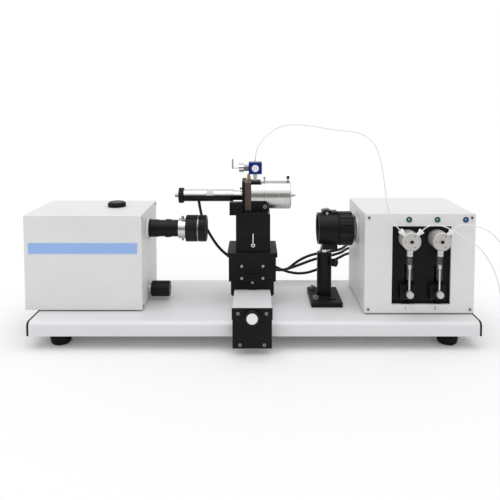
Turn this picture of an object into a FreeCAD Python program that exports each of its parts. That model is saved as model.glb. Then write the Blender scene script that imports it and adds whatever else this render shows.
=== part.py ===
import FreeCAD, Part
import math
import os

V = FreeCAD.Vector

# Sizes of the whole instrument, in millimetres.
# X runs along the base, Y away from the user and Z up. The sizes are written from the middle of the base.
TURN = 360.0
HALF_TURN = 180.0
QUARTER_TURN = 90.0
HEXAGON_SIDES = 6
parallel_share = 0.999
overrun = 1.0
seat_gap = 0.05
running_gap = 0.05
free_gap = 0.3
slide_gap = 0.3

# Base
base_length = 700.0
base_depth = 206.0
base_thickness = 22.4
base_edge_radius = 7.0
base_wall = 5.0
base_web = 8.0
cavity_count = 3
end_cap_thickness = 3.5
foot_height = 22.0
foot_radius = 16.5
foot_waist_radius = 15.2
foot_toe_radius = 13.0
foot_toe_height = 2.0
foot_ridge_low = 8.0
foot_ridge_high = 12.0
foot_inset_x = 40.0
foot_inset_y = 30.0
foot_recess_radius = 4.6
foot_recess_depth = 6.0
foot_bore_radius = 2.3
foot_screw_radius = 2.0
foot_screw_head_radius = 4.0
foot_screw_head_height = 3.0
foot_screw_end = 2.0

deck = foot_height + base_thickness
front_edge = -base_depth / 2
back_edge = base_depth / 2

# Housings that stand on the base
floor_plate_thickness = 2.5
floor_plate_inset = 6.0
sheet = 2.0
sheet_edge_radius = 1.5
corner_post = 8.0
corner_post_length = 10.0
panel_screw_radius = 1.3
panel_screw_head_radius = 2.3
panel_screw_head_height = 1.2
panel_screw_inset = 5.0
panel_screw_length = 7.0
housing_floor = deck + floor_plate_thickness

# Camera housing
camera_left = -373.0
camera_right = -182.0
camera_front = -59.0
camera_back = 74.0
camera_height = 155.5
strip_margin = 7.0
strip_width = 177.0
strip_height = 18.0
strip_lift = 92.5
strip_thickness = 0.6
top_knob_x = -240.0
top_knob_y = 17.0
top_knob_radius = 15.5
top_knob_height = 8.5
top_knob_crown = 2.0
top_knob_rib_depth = 0.8
top_knob_ribs = 24
top_knob_spindle_radius = 3.0
top_knob_spindle_length = 12.0

# Optical axis and the lens
axis_lift = 123.5
axis_z = deck + axis_lift
lens_start = -205.0
lens_barrel_radius = 15.0
lens_groove_radius = 14.2
lens_step_radius = 15.6
lens_neck_radius = 14.4
lens_bore_radius = 11.0
lens_groove_start = -164.0
lens_step_start = -152.0
lens_neck_start = -143.0
lock_ring_start = -129.0
lock_ring_length = 12.0
lock_ring_radius = 17.4
lock_screw_radius = 2.1
lock_screw_height = 3.6
lock_screw_shank_radius = 1.2
focus_ring_length = 20.0
lens_ring_radius = 22.75
lens_ring_core_radius = 17.0
lens_ring_rib_depth = 0.7
lens_ring_ribs = 36
lens_band_length = 2.0
lens_band_drop = 0.8
front_ring_length = 13.7
front_ring_lip = 1.2
front_ring_mouth_radius = 18.5
lens_glass_radius = 15.5
lens_glass_thickness = 4.0
lens_glass_crown = 2.0
lens_glass_tip_share = 0.7
panel_collar_radius = 19.0
panel_collar_length = 2.5

# Camera on its sled, inside the housing
sled_rail_offset = 16.0
sled_rail_width = 8.0
sled_rail_height = 5.0
sled_thickness = 3.0
sled_width = 44.0
sled_back_x = -320.0
sled_front_x = -205.0
sled_nut_length = 14.0
sled_nut_width = 16.0
sled_nut_x = -250.0
sled_column_thickness = 10.0
camera_side = 44.0
camera_length = 95.0

# Spindle that moves the sled, with its knob outside the panel
spindle_lift = 17.7
spindle_radius = 3.0
spindle_end_x = -285.0
knob_collar_radius = 9.2
knob_collar_length = 4.4
focus_knob_radius = 13.3
focus_knob_length = 32.0
focus_knob_rib_depth = 0.7
focus_knob_ribs = 28
focus_knob_chamfer = 1.2

# Rail housing and stage
stage_x = -3.0
rail_width = 60.0
rail_height = 28.5
rail_overhang = 15.0
rail_front = front_edge - rail_overhang
rail_back = 96.0
rail_wall = 3.0
rail_slot_width = 16.0
front_plate_width = 62.0
front_plate_thickness = 4.0
front_plate_low_z = 11.4
front_plate_screw_inset_x = 9.5
front_plate_screw_inset_top = 7.0
front_plate_screw_inset_low = 6.0
front_plate_cap_drop = 17.0
front_plate_cap_overhang = 1.0
plate_screw_radius = 1.6
plate_screw_head_radius = 2.4
plate_screw_head_height = 1.6
plate_screw_length = 9.0
lead_screw_radius = 4.0
lead_screw_lift = 16.0
lead_screw_back = 60.0
stage_knob_radius = 12.0
stage_knob_length = 7.0
stage_knob_gap = 0.6
stage_knob_rib_depth = 0.7
stage_knob_ribs = 24
stage_knob_face_radius = 8.4
stage_knob_face_height = 1.0
nut_length = 24.0
nut_radius = 7.0
nut_neck_width = 8.0

saddle_width = 71.5
saddle_front = -38.0
saddle_back = 34.0
saddle_top_thickness = 15.5
saddle_leg_drop = 10.5
saddle_leg_radius = 4.0
body_width = 78.0
body_front = -43.0
body_back = 35.0
body_height = 40.2
body_groove_width = 2.0
body_groove_depth = 1.5
body_groove_inset = 9.0
body_pocket_width = 28.0
body_pocket_height = 11.0
body_pocket_depth = 3.0
body_pocket_drop = 18.4
body_pocket_corner_share = 0.45
body_gland_radius = 4.6
body_gland_length = 8.0
body_gland_places = ((12.0, 102.0), (-16.0, 96.0))
body_screw_span_x = 35.0
body_screw_high_drop = 14.2
body_screw_low_drop = 34.5
saddle_screw_drop = 3.0
stage_screw_radius = 1.6
stage_screw_head_radius = 2.1
stage_screw_head_height = 1.4
stage_screw_length = 9.0
plate_width = 83.0
plate_front = -43.0
plate_back = 39.0
plate_thickness = 7.3
tower_x = -1.8
tower_width = 57.0
tower_front = -37.0
tower_back = 25.0
tower_base_height = 27.3
tower_head_height = 38.2
tower_seam_gap = 0.4
tower_head_chamfer = 5.0
tower_edge_chamfer = 1.5
guide_pin_radius = 4.0
guide_pin_length = 22.0
guide_pin_span = 36.0
guide_pin_y = 5.0
clamp_lever_drop = 14.0
clamp_lever_hub_radius = 3.4
clamp_lever_hub_length = 6.0
clamp_lever_arm_radius = 1.3
clamp_lever_arm_length = 19.0
clamp_lever_shank_radius = 2.0
clamp_lever_shank_length = 10.0
clamp_lever_socket_radius = 1.6
clamp_lever_socket_depth = 2.5

# Head on the tower
head_y = 0.0
head_lift = 181.4
head_z = deck + head_lift
clamp_plate_left = -20.3
clamp_plate_thickness = 5.0
clamp_plate_width = 52.0
cell_plate_thickness = 10.2
cell_plate_width = 52.0
cell_plate_height = 49.9
cylinder_radius = 24.0
cylinder_length = 67.0
cylinder_edge = 1.2
cylinder_seam_x_share = 0.325
cylinder_seam_width = 0.6
cylinder_seam_depth = 0.5
nipple_radius = 3.6
nipple_length = 5.5
nipple_tip_radius = 2.2
nipple_tip_length = 3.5
cradle_length = 31.0
cradle_width = 50.0
cradle_drop = 7.8
cradle_slant = 5.0
cradle_gap = 0.3
cradle_screw_x = 18.1
cradle_screw_drop = 15.6
cradle_screw_radius = 3.2
cradle_screw_height = 2.4
cradle_screw_shank_radius = 1.5
cradle_screw_length = 3.4
cradle_socket_radius = 1.6
cradle_socket_depth = 1.4
cell_strip_length = 16.0
cell_strip_width = 27.0
cell_strip_height = 0.6
cell_screw_radius = 2.0
cell_screw_height = 6.0
cell_screw_ball_radius = 2.8
cell_screw_first_share = 0.34
cell_screw_second_share = 0.94
rib_bracket_length = 20.0
rib_bracket_width = 12.0
rib_bracket_height = 21.0
rib_bracket_rise = 6.8
rib_bracket_ribs = 4
rib_bracket_groove = 2.0
side_knob_radius = 2.2
side_knob_length = 1.7
side_knob_lift = 12.5
side_knob_shank_radius = 1.2

barrel_lift_offset = -0.9
barrel_radius = 10.1
barrel_end_x = -120.0
barrel_neck_start_x = -35.8
barrel_neck_radius = 8.3
barrel_window_start_x = -80.9
barrel_window_length = 11.0
barrel_window_depth = 1.2
barrel_knob_radius = 13.1
barrel_knob_length = 8.5
barrel_knob_rib_depth = 0.8
barrel_knob_ribs = 26
barrel_stub_radius = 3.2
barrel_stub_length = 6.8
barrel_stub_inner = 12.0
barrel_gland_radius = 3.6
barrel_gland_seat_share = 0.9
barrel_gland_length = 2.5
barrel_gland_x = -95.8
barrel_gland_tilt = 38.0

# Valve on the head
cube_width = 22.5
cube_depth = 20.0
cube_height = 20.0
cube_x = 1.9
cube_low_lift = 218.0
cube_edge = 0.8
cube_face_radius = 6.0
cube_face_height = 1.0
cube_stem_radius = 2.2
cube_cone_radius = 4.0
cube_cone_top_radius = 2.6
cube_cone_height = 9.0
cube_stem_x = -9.4
white_knob_radius = 3.9
white_knob_end_share = 0.8
white_knob_x = 1.9
white_knob_height = 8.2
cube_port_radius = 5.6
cube_port_length = 8.2
cube_top_port_radius = 1.9
cube_top_port_length = 3.0
lever_nut_radius = 7.4
lever_nut_length = 8.0
lever_nut_ribs = 8
lever_arm_radius = 1.2
lever_arm_length = 11.0
lever_rod_height = 15.0
lever_rod_radius = 1.5
lever_spindle_radius = 2.0

# Post with the optic
post_x = 121.0
post_y = 0.0
post_plate_left = 95.0
post_plate_width = 52.0
post_plate_front = -43.0
post_plate_back = 36.0
post_plate_thickness = 8.0
post_plate_slot_length = 16.0
post_plate_slot_radius = 3.3
post_plate_slot_x = 16.0
post_plate_slot_inset = 16.0
post_plate_screw_inset = 9.0
post_plate_screw_head_radius = 4.8
post_plate_screw_head_height = 5.0
post_plate_screw_radius = 3.0
post_plate_socket_radius = 2.4
post_plate_socket_depth = 2.5
post_holder_radius = 12.5
post_holder_height = 74.5
post_holder_chamfer = 1.0
post_bore_depth = 66.0
post_radius = 6.35
post_length = 76.0
post_rest_insert = 40.0
post_collar_radius = 8.0
post_collar_height = 8.0
post_collar_lift = 0.3
post_screw_drop = 15.5
post_screw_turn = -40.0
post_screw_knob_radius = 6.6
post_screw_knob_length = 9.0
post_screw_rib_depth = 0.5
post_screw_ribs = 18
post_screw_radius = 2.5
post_screw_stand = 3.0
optic_left = 109.0
optic_front_radius = 27.0
optic_front_length = 7.0
optic_body_radius = 28.0
optic_body_length = 26.0
optic_bore_radius = 22.5
optic_lip = 2.0
optic_block_width = 24.0
optic_block_length = 26.0
optic_block_drop = 6.5
optic_clamp_length = 16.0
optic_clamp_width = 18.0
optic_clamp_height = 7.0
optic_clamp_screw_radius = 3.0
optic_clamp_screw_height = 2.6
optic_bump_length = 10.0
optic_bump_height = 4.5
ribbed_ring_radius = 29.0
ribbed_ring_length = 26.0
ribbed_ring_rib_depth = 1.8
ribbed_ring_ribs = 14
ribbed_ring_sleeve_radius = 24.5
ribbed_ring_gap = 0.5
land_share = 0.55
flank_share = 0.12
window_radius = 23.5
window_bore_radius = 17.0
window_length = 4.0
window_glass_thickness = 2.0

# Pump housing
pump_left = 176.5
pump_right = 352.0
pump_front = -72.0
pump_back = 74.0
pump_height = 160.5
front_panel_thickness = 4.0
pump_screw_inset = 6.0
lamp_radius = 4.5
lamp_height = 1.2
lamp_collar_radius = 5.4
lamp_collar_height = 0.8
lamp_drop = 9.0
lamp_count = 3
lamp_first_x = 246.0
lamp_pitch = 45.0
recess_left = 220.0
recess_right = 314.0
recess_low_lift = 16.5
recess_high_lift = 143.4
recess_depth = 7.0
drive_panel_thickness = 3.0
pump_count = 2
pump_pitch = 47.5
valve_x = 245.6
valve_lift = 122.8
valve_radius = 14.6
valve_proud = 20.0
valve_face_recess = 0.8
valve_edge = 1.0
valve_rim_width = 1.5
rotor_radius = 4.4
rotor_proud = 0.9
rotor_slot_width = 1.8
rotor_slot_depth = 1.2
fitting_radius = 3.1
fitting_head_radius = 4.4
fitting_head_length = 4.5
fitting_length = 9.5
fitting_tube_radius = 0.95
fitting_angle = 45.0
collar_radius = 5.3
collar_height = 9.0
collar_waist = 0.8
collar_waist_low_share = 0.45
collar_waist_high_share = 0.55
collar_neck_share = 0.6
collar_top_lift = 107.0
barrel_glass_radius = 4.6
barrel_glass_bore = 3.2
barrel_glass_length = 38.5
syringe_proud = 9.0
plunger_rod_radius = 1.5
piston_radius = 3.15
piston_length = 5.0
piston_lift = 78.0
pump_carriage_width = 24.0
pump_carriage_height = 24.0
pump_carriage_depth = 9.5
pump_carriage_lift = 25.0
pump_carriage_edge = 1.2
pump_slot_width = 7.0
pump_slot_low_lift = 18.0
pump_slot_high_lift = 80.0
pump_tongue_length = 16.0
thumb_screw_radius = 5.5
thumb_screw_length = 6.5
thumb_screw_rib_depth = 0.45
thumb_screw_ribs = 18
rear_socket_radius = 7.6
rear_socket_length = 4.0
rear_plug_radius = 6.2
rear_plug_length = 22.0
rear_plug_straight_share = 0.6
rear_socket_count = 3
rear_socket_x = 240.0
rear_socket_pitch = 17.0
rear_socket_lift = 40.0

# Cords
cable_diameter = 5.0
line_diameter = 1.6
cord_radius_share = 0.45


def on_axis(shape, axis, centre):
    """Turn a shape made about +Z to the named axis, and move it to the axis' place."""
    origin = V(0, 0, 0)
    if axis == "X":
        shape.rotate(origin, V(0, 1, 0), QUARTER_TURN)
        shape.translate(V(0, centre[0], centre[1]))
    elif axis == "Y":
        shape.rotate(origin, V(1, 0, 0), -QUARTER_TURN)
        shape.translate(V(centre[0], 0, centre[1]))
    else:
        shape.translate(V(centre[0], centre[1], 0))
    return shape


def block(x0, x1, y0, y1, z0, z1):
    """A block between two opposite corners."""
    return Part.makeBox(x1 - x0, y1 - y0, z1 - z0, V(x0, y0, z0))


def rod(axis, centre, start, end, radius):
    """A round bar along an axis."""
    return on_axis(Part.makeCylinder(radius, end - start, V(0, 0, start)), axis, centre)


def turned(axis, centre, outline):
    """A turned piece. The outline is a closed list of (station along the axis, radius)."""
    points = [V(radius, 0, station) for station, radius in outline]
    face = Part.Face(Part.makePolygon(points + points[:1]))
    return on_axis(face.revolve(V(0, 0, 0), V(0, 0, 1), TURN), axis, centre)


def tube(axis, centre, start, end, outer, inner):
    """A round tube."""
    return turned(axis, centre, [(start, inner), (end, inner), (end, outer), (start, outer)])


def ribbed(axis, centre, start, end, radius, depth, ribs, chamfer=0.0):
    """A grip with straight ribs, an even number of lands and grooves, and an optional chamfer at both ends."""
    points = []
    step = TURN / ribs
    for index in range(ribs):
        for share, reach in ((0.0, radius), (land_share, radius),
                             (land_share + flank_share, radius - depth), (1.0 - flank_share, radius - depth)):
            angle = math.radians(step * (index + share))
            points.append(V(reach * math.cos(angle), reach * math.sin(angle), start))
    face = Part.Face(Part.makePolygon(points + points[:1]))
    grip = face.extrude(V(0, 0, end - start))
    if chamfer:
        hull = [(start, 0), (start, radius - chamfer), (start + chamfer, radius),
                (end - chamfer, radius), (end, radius - chamfer), (end, 0)]
        grip = grip.common(turned("Z", (0, 0), hull))
    return on_axis(grip, axis, centre)


def hexagon(axis, centre, start, end, radius):
    """A six sided bar, as a nut or a socket."""
    points = []
    for index in range(HEXAGON_SIDES):
        angle = math.radians(TURN * index / HEXAGON_SIDES)
        points.append(V(radius * math.cos(angle), radius * math.sin(angle), start))
    face = Part.Face(Part.makePolygon(points + points[:1]))
    return on_axis(face.extrude(V(0, 0, end - start)), axis, centre)


def screw(axis, centre, seat, sign, head_radius, head_height, shank_radius, length):
    """A round headed screw. Its head stands on the seat towards sign, its shank goes the other way."""
    low, high = sorted((seat, seat + sign * head_height))
    head = rod(axis, centre, low, high, head_radius)
    low, high = sorted((seat, seat - sign * length))
    return head.fuse(rod(axis, centre, low, high, shank_radius)).removeSplitter()


def edges_along(shape, direction, test):
    """Straight edges of a shape along a direction, at the places that the test allows."""
    found = []
    for edge in shape.Edges:
        first = edge.Vertexes[0].Point
        last = edge.Vertexes[-1].Point
        run = last.sub(first)
        if run.Length > 0 and abs(run.normalize().dot(direction)) > parallel_share and test(edge.CenterOfMass):
            found.append(edge)
    return found


def group(shapes):
    """Separate solids in one node."""
    return Part.makeCompound(shapes)


nodes = {}
cords = {}


# Base
def base_outline(x0, x1):
    body = block(x0, x1, front_edge, back_edge, foot_height, deck)
    top_edges = edges_along(body, V(1, 0, 0), lambda p: p.z > deck - base_thickness / 2)
    return body.makeFillet(base_edge_radius, top_edges)


def foot_places():
    for side in (-1, 1):
        for end in (-1, 1):
            yield end * (base_length / 2 - foot_inset_x), side * (base_depth / 2 - foot_inset_y)


def make_base():
    half = base_length / 2
    profile = base_outline(-half, half)
    inner_depth = base_depth - 2 * base_edge_radius - 2 * base_wall
    cavity_depth = (inner_depth - (cavity_count - 1) * base_web) / cavity_count
    for index in range(cavity_count):
        y0 = -inner_depth / 2 + index * (cavity_depth + base_web)
        cavity = block(-half - overrun, half + overrun, y0, y0 + cavity_depth,
                       foot_height + base_wall, deck - base_wall)
        profile = profile.cut(cavity)
    for x, y in foot_places():
        profile = profile.cut(rod("Z", (x, y), foot_height - overrun, foot_height + base_wall + overrun,
                                  foot_screw_radius + seat_gap))
    nodes["base_profile"] = profile
    nodes["base_end_caps"] = group([base_outline(-half - end_cap_thickness, -half),
                                    base_outline(half, half + end_cap_thickness)])
    feet = []
    for x, y in foot_places():
        feet.append(turned("Z", (x, y), [
            (0, foot_recess_radius), (0, foot_toe_radius), (foot_toe_height, foot_waist_radius),
            (foot_ridge_low, foot_radius), (foot_ridge_high, foot_radius),
            (foot_ridge_high, foot_waist_radius), (foot_height, foot_waist_radius),
            (foot_height, foot_bore_radius), (foot_recess_depth, foot_bore_radius),
            (foot_recess_depth, foot_recess_radius)]))
    nodes["rubber_feet"] = group(feet)


# Screws of the pieces that don't move
def make_frame_screws():
    screws = []
    for x, y in foot_places():
        length = foot_height + base_wall + foot_screw_end - foot_recess_depth
        screws.append(screw("Z", (x, y), foot_recess_depth, -1, foot_screw_head_radius,
                            foot_screw_head_height, foot_screw_radius, length))
    for y, z in camera_screw_places():
        screws.append(screw("X", (y, z), camera_right, 1, panel_screw_head_radius,
                            panel_screw_head_height, panel_screw_radius, panel_screw_length))
    for x, z in pump_screw_places():
        screws.append(screw("Y", (x, z), pump_front, -1, panel_screw_head_radius,
                            panel_screw_head_height, panel_screw_radius, panel_screw_length))
    for x, z in front_plate_screw_places():
        screws.append(screw("Y", (x, z), rail_front - front_plate_thickness, -1, plate_screw_head_radius,
                            plate_screw_head_height, plate_screw_radius, front_plate_thickness))
    for x, y in post_plate_screw_places():
        top = deck + post_plate_thickness
        bolt = screw("Z", (x, y), top, 1, post_plate_screw_head_radius, post_plate_screw_head_height,
                     post_plate_screw_radius, post_plate_thickness)
        high = top + post_plate_screw_head_height
        screws.append(bolt.cut(hexagon("Z", (x, y), high - post_plate_socket_depth, high + overrun,
                                       post_plate_socket_radius)))
    nodes["frame_screws"] = group(screws)


# Camera housing
def camera_screw_places():
    low = housing_floor + panel_screw_inset
    high = housing_floor + camera_height - panel_screw_inset
    for y in (camera_front + panel_screw_inset, camera_back - panel_screw_inset):
        for z in (low, high):
            yield y, z


def make_camera_housing():
    top = housing_floor + camera_height
    panel_x = camera_right - sheet
    cover = block(camera_left, panel_x, camera_front, camera_back, housing_floor, top)
    rounded = edges_along(cover, V(1, 0, 0), lambda p: p.z > top - sheet)
    rounded += edges_along(cover, V(0, 0, 1), lambda p: p.x < camera_left + sheet)
    cover = cover.makeFillet(sheet_edge_radius, rounded)
    cover = cover.cut(block(camera_left + sheet, panel_x + overrun, camera_front + sheet, camera_back - sheet,
                            housing_floor + sheet, top - sheet))
    for y, z in camera_screw_places():
        y_wall = camera_front + sheet if y < 0 else camera_back - sheet
        y_in = y_wall + (corner_post if y < 0 else -corner_post)
        z_wall = housing_floor + sheet if z < axis_z - sled_width else top - sheet
        z_in = z_wall + (corner_post if z < axis_z - sled_width else -corner_post)
        cover = cover.fuse(block(panel_x - corner_post_length, panel_x, min(y_wall, y_in), max(y_wall, y_in),
                                 min(z_wall, z_in), max(z_wall, z_in)))
        cover = cover.cut(rod("X", (y, z), panel_x - panel_screw_length, panel_x + overrun,
                              panel_screw_radius + seat_gap))
    for side in (-1, 1):
        y = side * sled_rail_offset
        cover = cover.fuse(block(sled_back_x - sled_rail_width, sled_front_x + sled_rail_width,
                                 y - sled_rail_width / 2, y + sled_rail_width / 2,
                                 housing_floor + sheet, housing_floor + sheet + sled_rail_height))
    cover = cover.cut(rod("Z", (top_knob_x, top_knob_y), top - sheet - overrun, top + overrun,
                          top_knob_spindle_radius + running_gap))
    nodes["camera_cover"] = cover.removeSplitter()

    panel = block(panel_x, camera_right, camera_front, camera_back, housing_floor, top)
    panel = panel.fuse(rod("X", (0, axis_z), camera_right, camera_right + panel_collar_length,
                           panel_collar_radius))
    panel = panel.cut(rod("X", (0, axis_z), panel_x - overrun, camera_right + panel_collar_length + overrun,
                          lens_step_radius + free_gap))
    panel = panel.cut(rod("X", (0, deck + spindle_lift), panel_x - overrun, camera_right + overrun,
                          spindle_radius + running_gap))
    for y, z in camera_screw_places():
        panel = panel.cut(rod("X", (y, z), panel_x - overrun, camera_right + overrun,
                              panel_screw_radius + seat_gap))
    nodes["camera_side_panel"] = panel.removeSplitter()

    nodes["name_strip"] = block(camera_left + strip_margin, camera_left + strip_margin + strip_width,
                                camera_front - strip_thickness, camera_front,
                                housing_floor + strip_lift, housing_floor + strip_lift + strip_height)

    knob_low = top + seat_gap
    knob = ribbed("Z", (top_knob_x, top_knob_y), knob_low, knob_low + top_knob_height - top_knob_crown,
                  top_knob_radius, top_knob_rib_depth, top_knob_ribs)
    crown = turned("Z", (top_knob_x, top_knob_y), [
        (knob_low + top_knob_height - top_knob_crown, 0),
        (knob_low + top_knob_height - top_knob_crown, top_knob_radius - top_knob_rib_depth),
        (knob_low + top_knob_height, top_knob_radius - top_knob_rib_depth - top_knob_crown),
        (knob_low + top_knob_height, 0)])
    spindle = rod("Z", (top_knob_x, top_knob_y), knob_low - top_knob_spindle_length, knob_low,
                  top_knob_spindle_radius)
    nodes["top_knob"] = knob.fuse(crown).fuse(spindle).removeSplitter()


def make_floor_plates():
    plates = []
    for x0, x1, y0, y1 in ((camera_left, camera_right, camera_front, camera_back),
                           (pump_left, pump_right, pump_front, pump_back)):
        x0 = max(x0 + floor_plate_inset, -base_length / 2)
        x1 = min(x1 - floor_plate_inset, base_length / 2)
        plates.append(block(x0, x1, y0 + floor_plate_inset, y1 - floor_plate_inset, deck, housing_floor))
    nodes["floor_plates"] = group(plates)


# Camera sled with the lens
def make_sled():
    rail_top = housing_floor + sheet + sled_rail_height
    low = rail_top + slide_gap
    high = low + sled_thickness
    spindle_z = deck + spindle_lift
    sled = block(sled_back_x, sled_front_x, -sled_width / 2, sled_width / 2, low, high)
    nut = block(sled_nut_x - sled_nut_length / 2, sled_nut_x + sled_nut_length / 2, -sled_nut_width / 2,
                sled_nut_width / 2, high, spindle_z + sled_nut_width / 2)
    column_x = spindle_end_x - sled_column_thickness - sled_nut_length / 2
    column = block(column_x, column_x + sled_column_thickness, -camera_side / 2, camera_side / 2, high,
                   axis_z - camera_side / 2)
    sled = sled.fuse([nut, column])
    sled = sled.cut(rod("X", (0, spindle_z), sled_nut_x - sled_nut_length, sled_nut_x + sled_nut_length,
                        spindle_radius + running_gap))
    camera = block(lens_start - camera_length, lens_start, -camera_side / 2, camera_side / 2,
                   axis_z - camera_side / 2, axis_z + camera_side / 2)
    camera = camera.makeChamfer(sheet, edges_along(camera, V(1, 0, 0), lambda p: True))
    nodes["camera_sled"] = group([sled.removeSplitter(), camera])

    ring_end = lock_ring_start + lock_ring_length
    front = ring_end + focus_ring_length + lens_band_length + front_ring_length
    core_end = front - front_ring_lip - lens_glass_crown
    barrel = turned("X", (0, axis_z), [
        (lens_start, lens_bore_radius), (lens_start, lens_barrel_radius),
        (lens_groove_start, lens_barrel_radius), (lens_groove_start, lens_groove_radius),
        (lens_step_start, lens_groove_radius), (lens_step_start, lens_step_radius),
        (lens_neck_start, lens_step_radius), (lens_neck_start, lens_neck_radius),
        (ring_end, lens_neck_radius), (ring_end, lens_ring_core_radius),
        (core_end, lens_ring_core_radius), (core_end, lens_glass_radius + seat_gap),
        (core_end - lens_glass_thickness, lens_glass_radius + seat_gap),
        (core_end - lens_glass_thickness, lens_bore_radius)])
    lock = tube("X", (0, axis_z), lock_ring_start, ring_end, lock_ring_radius, lens_neck_radius + seat_gap)
    ring_middle = lock_ring_start + lock_ring_length / 2
    screws = []
    for sign in (-1, 1):
        seat = axis_z + sign * lock_ring_radius
        tip = axis_z + sign * (lens_neck_radius + 2 * seat_gap)
        low, high = sorted((tip, seat))
        lock = lock.cut(rod("Z", (ring_middle, 0), low - overrun, high + overrun,
                            lock_screw_shank_radius + seat_gap))
        shank = rod("Z", (ring_middle, 0), low, high, lock_screw_shank_radius)
        low, high = sorted((seat, seat + sign * lock_screw_height))
        screws.append(shank.fuse(rod("Z", (ring_middle, 0), low, high, lock_screw_radius)).removeSplitter())

    focus = ribbed("X", (0, axis_z), ring_end + free_gap, ring_end + focus_ring_length, lens_ring_radius,
                   lens_ring_rib_depth, lens_ring_ribs, lens_ring_rib_depth)
    bore = rod("X", (0, axis_z), ring_end - overrun, front + overrun, lens_ring_core_radius + running_gap)
    nodes["lens_focus_ring"] = focus.cut(bore)
    band_start = ring_end + focus_ring_length + free_gap
    band = rod("X", (0, axis_z), band_start, band_start + lens_band_length, lens_ring_radius - lens_band_drop)
    grip_end = front - front_ring_lip
    grip = ribbed("X", (0, axis_z), band_start + lens_band_length, grip_end, lens_ring_radius,
                  lens_ring_rib_depth, lens_ring_ribs)
    lip = turned("X", (0, axis_z), [
        (grip_end, 0), (grip_end, lens_ring_radius - lens_ring_rib_depth),
        (front, lens_ring_radius - 2 * lens_ring_rib_depth), (front, 0)])
    mouth = turned("X", (0, axis_z), [
        (core_end + slide_gap, 0), (core_end + slide_gap, lens_ring_core_radius + running_gap),
        (front + overrun, front_ring_mouth_radius), (front + overrun, 0)])
    nodes["lens_front_ring"] = band.fuse([grip, lip]).cut(bore.common(
        rod("X", (0, axis_z), ring_end, core_end + 2 * slide_gap, lens_ring_radius))).cut(mouth).removeSplitter()
    glass = turned("X", (0, axis_z), [
        (core_end - lens_glass_thickness, 0), (core_end - lens_glass_thickness, lens_glass_radius),
        (core_end - lens_glass_crown / 2, lens_glass_radius),
        (core_end + lens_glass_crown / 2, lens_glass_radius / 2), (core_end + lens_glass_crown * lens_glass_tip_share, 0)])
    nodes["lens_barrel"] = group([barrel, lock, glass] + screws)


def make_focus_knob():
    centre = (0, deck + spindle_lift)
    collar_start = camera_right + seat_gap
    collar_end = collar_start + knob_collar_length
    spindle = rod("X", centre, spindle_end_x, collar_start, spindle_radius).fuse(
        rod("X", centre, collar_start, collar_end, knob_collar_radius)).removeSplitter()
    grip = ribbed("X", centre, collar_end, collar_end + focus_knob_length, focus_knob_radius,
                  focus_knob_rib_depth, focus_knob_ribs, focus_knob_chamfer)
    nodes["focus_knob"] = group([spindle, grip])


# Rail housing with its front plate and lead screw
def front_plate_screw_places():
    half = front_plate_width / 2
    high = deck + rail_height - front_plate_screw_inset_top
    low = front_plate_low_z + front_plate_screw_inset_low
    for side in (-1, 1):
        yield stage_x + side * (half - front_plate_screw_inset_x), high
        yield stage_x + side * (half - front_plate_screw_inset_x - rail_wall), low


def make_rail():
    half = rail_width / 2
    top = deck + rail_height
    housing = block(stage_x - half, stage_x + half, rail_front, rail_back, deck, top)
    housing = housing.makeFillet(sheet_edge_radius, edges_along(housing, V(0, 1, 0), lambda p: p.z > deck + half / 2))
    housing = housing.cut(block(stage_x - half + rail_wall, stage_x + half - rail_wall, rail_front - overrun,
                                rail_back - rail_wall, deck - overrun, top - rail_wall))
    housing = housing.cut(block(stage_x - rail_slot_width / 2, stage_x + rail_slot_width / 2, saddle_front,
                                rail_back - 2 * rail_wall, top - rail_wall - overrun, top + overrun))
    nodes["rail_housing"] = housing

    plate_back_y = rail_front
    plate_front_y = rail_front - front_plate_thickness
    half_plate = front_plate_width / 2
    low_half = half_plate - front_plate_cap_overhang
    plate = block(stage_x - low_half, stage_x + low_half, plate_front_y, plate_back_y, front_plate_low_z, top)
    plate = plate.fuse(block(stage_x - half_plate, stage_x + half_plate, plate_front_y, plate_back_y,
                             top - front_plate_cap_drop, top))
    bearing = rod("Y", (stage_x, deck + lead_screw_lift), plate_front_y, plate_back_y,
                  lead_screw_radius + running_gap)
    plate = plate.cut(bearing)
    for x, z in front_plate_screw_places():
        plate = plate.cut(rod("Y", (x, z), plate_front_y - overrun, plate_back_y + overrun,
                              plate_screw_radius + seat_gap))
    nodes["rail_front_plate"] = plate.removeSplitter()

    centre = (stage_x, deck + lead_screw_lift)
    knob_end = plate_front_y - stage_knob_gap
    knob_start = knob_end - stage_knob_length
    thread = rod("Y", centre, knob_end, lead_screw_back, lead_screw_radius)
    grip = ribbed("Y", centre, knob_start, knob_end, stage_knob_radius, stage_knob_rib_depth,
                  stage_knob_ribs, stage_knob_rib_depth)
    face = rod("Y", centre, knob_start - stage_knob_face_height, knob_start, stage_knob_face_radius)
    nodes["stage_knob"] = group([grip, face, thread])


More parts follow.
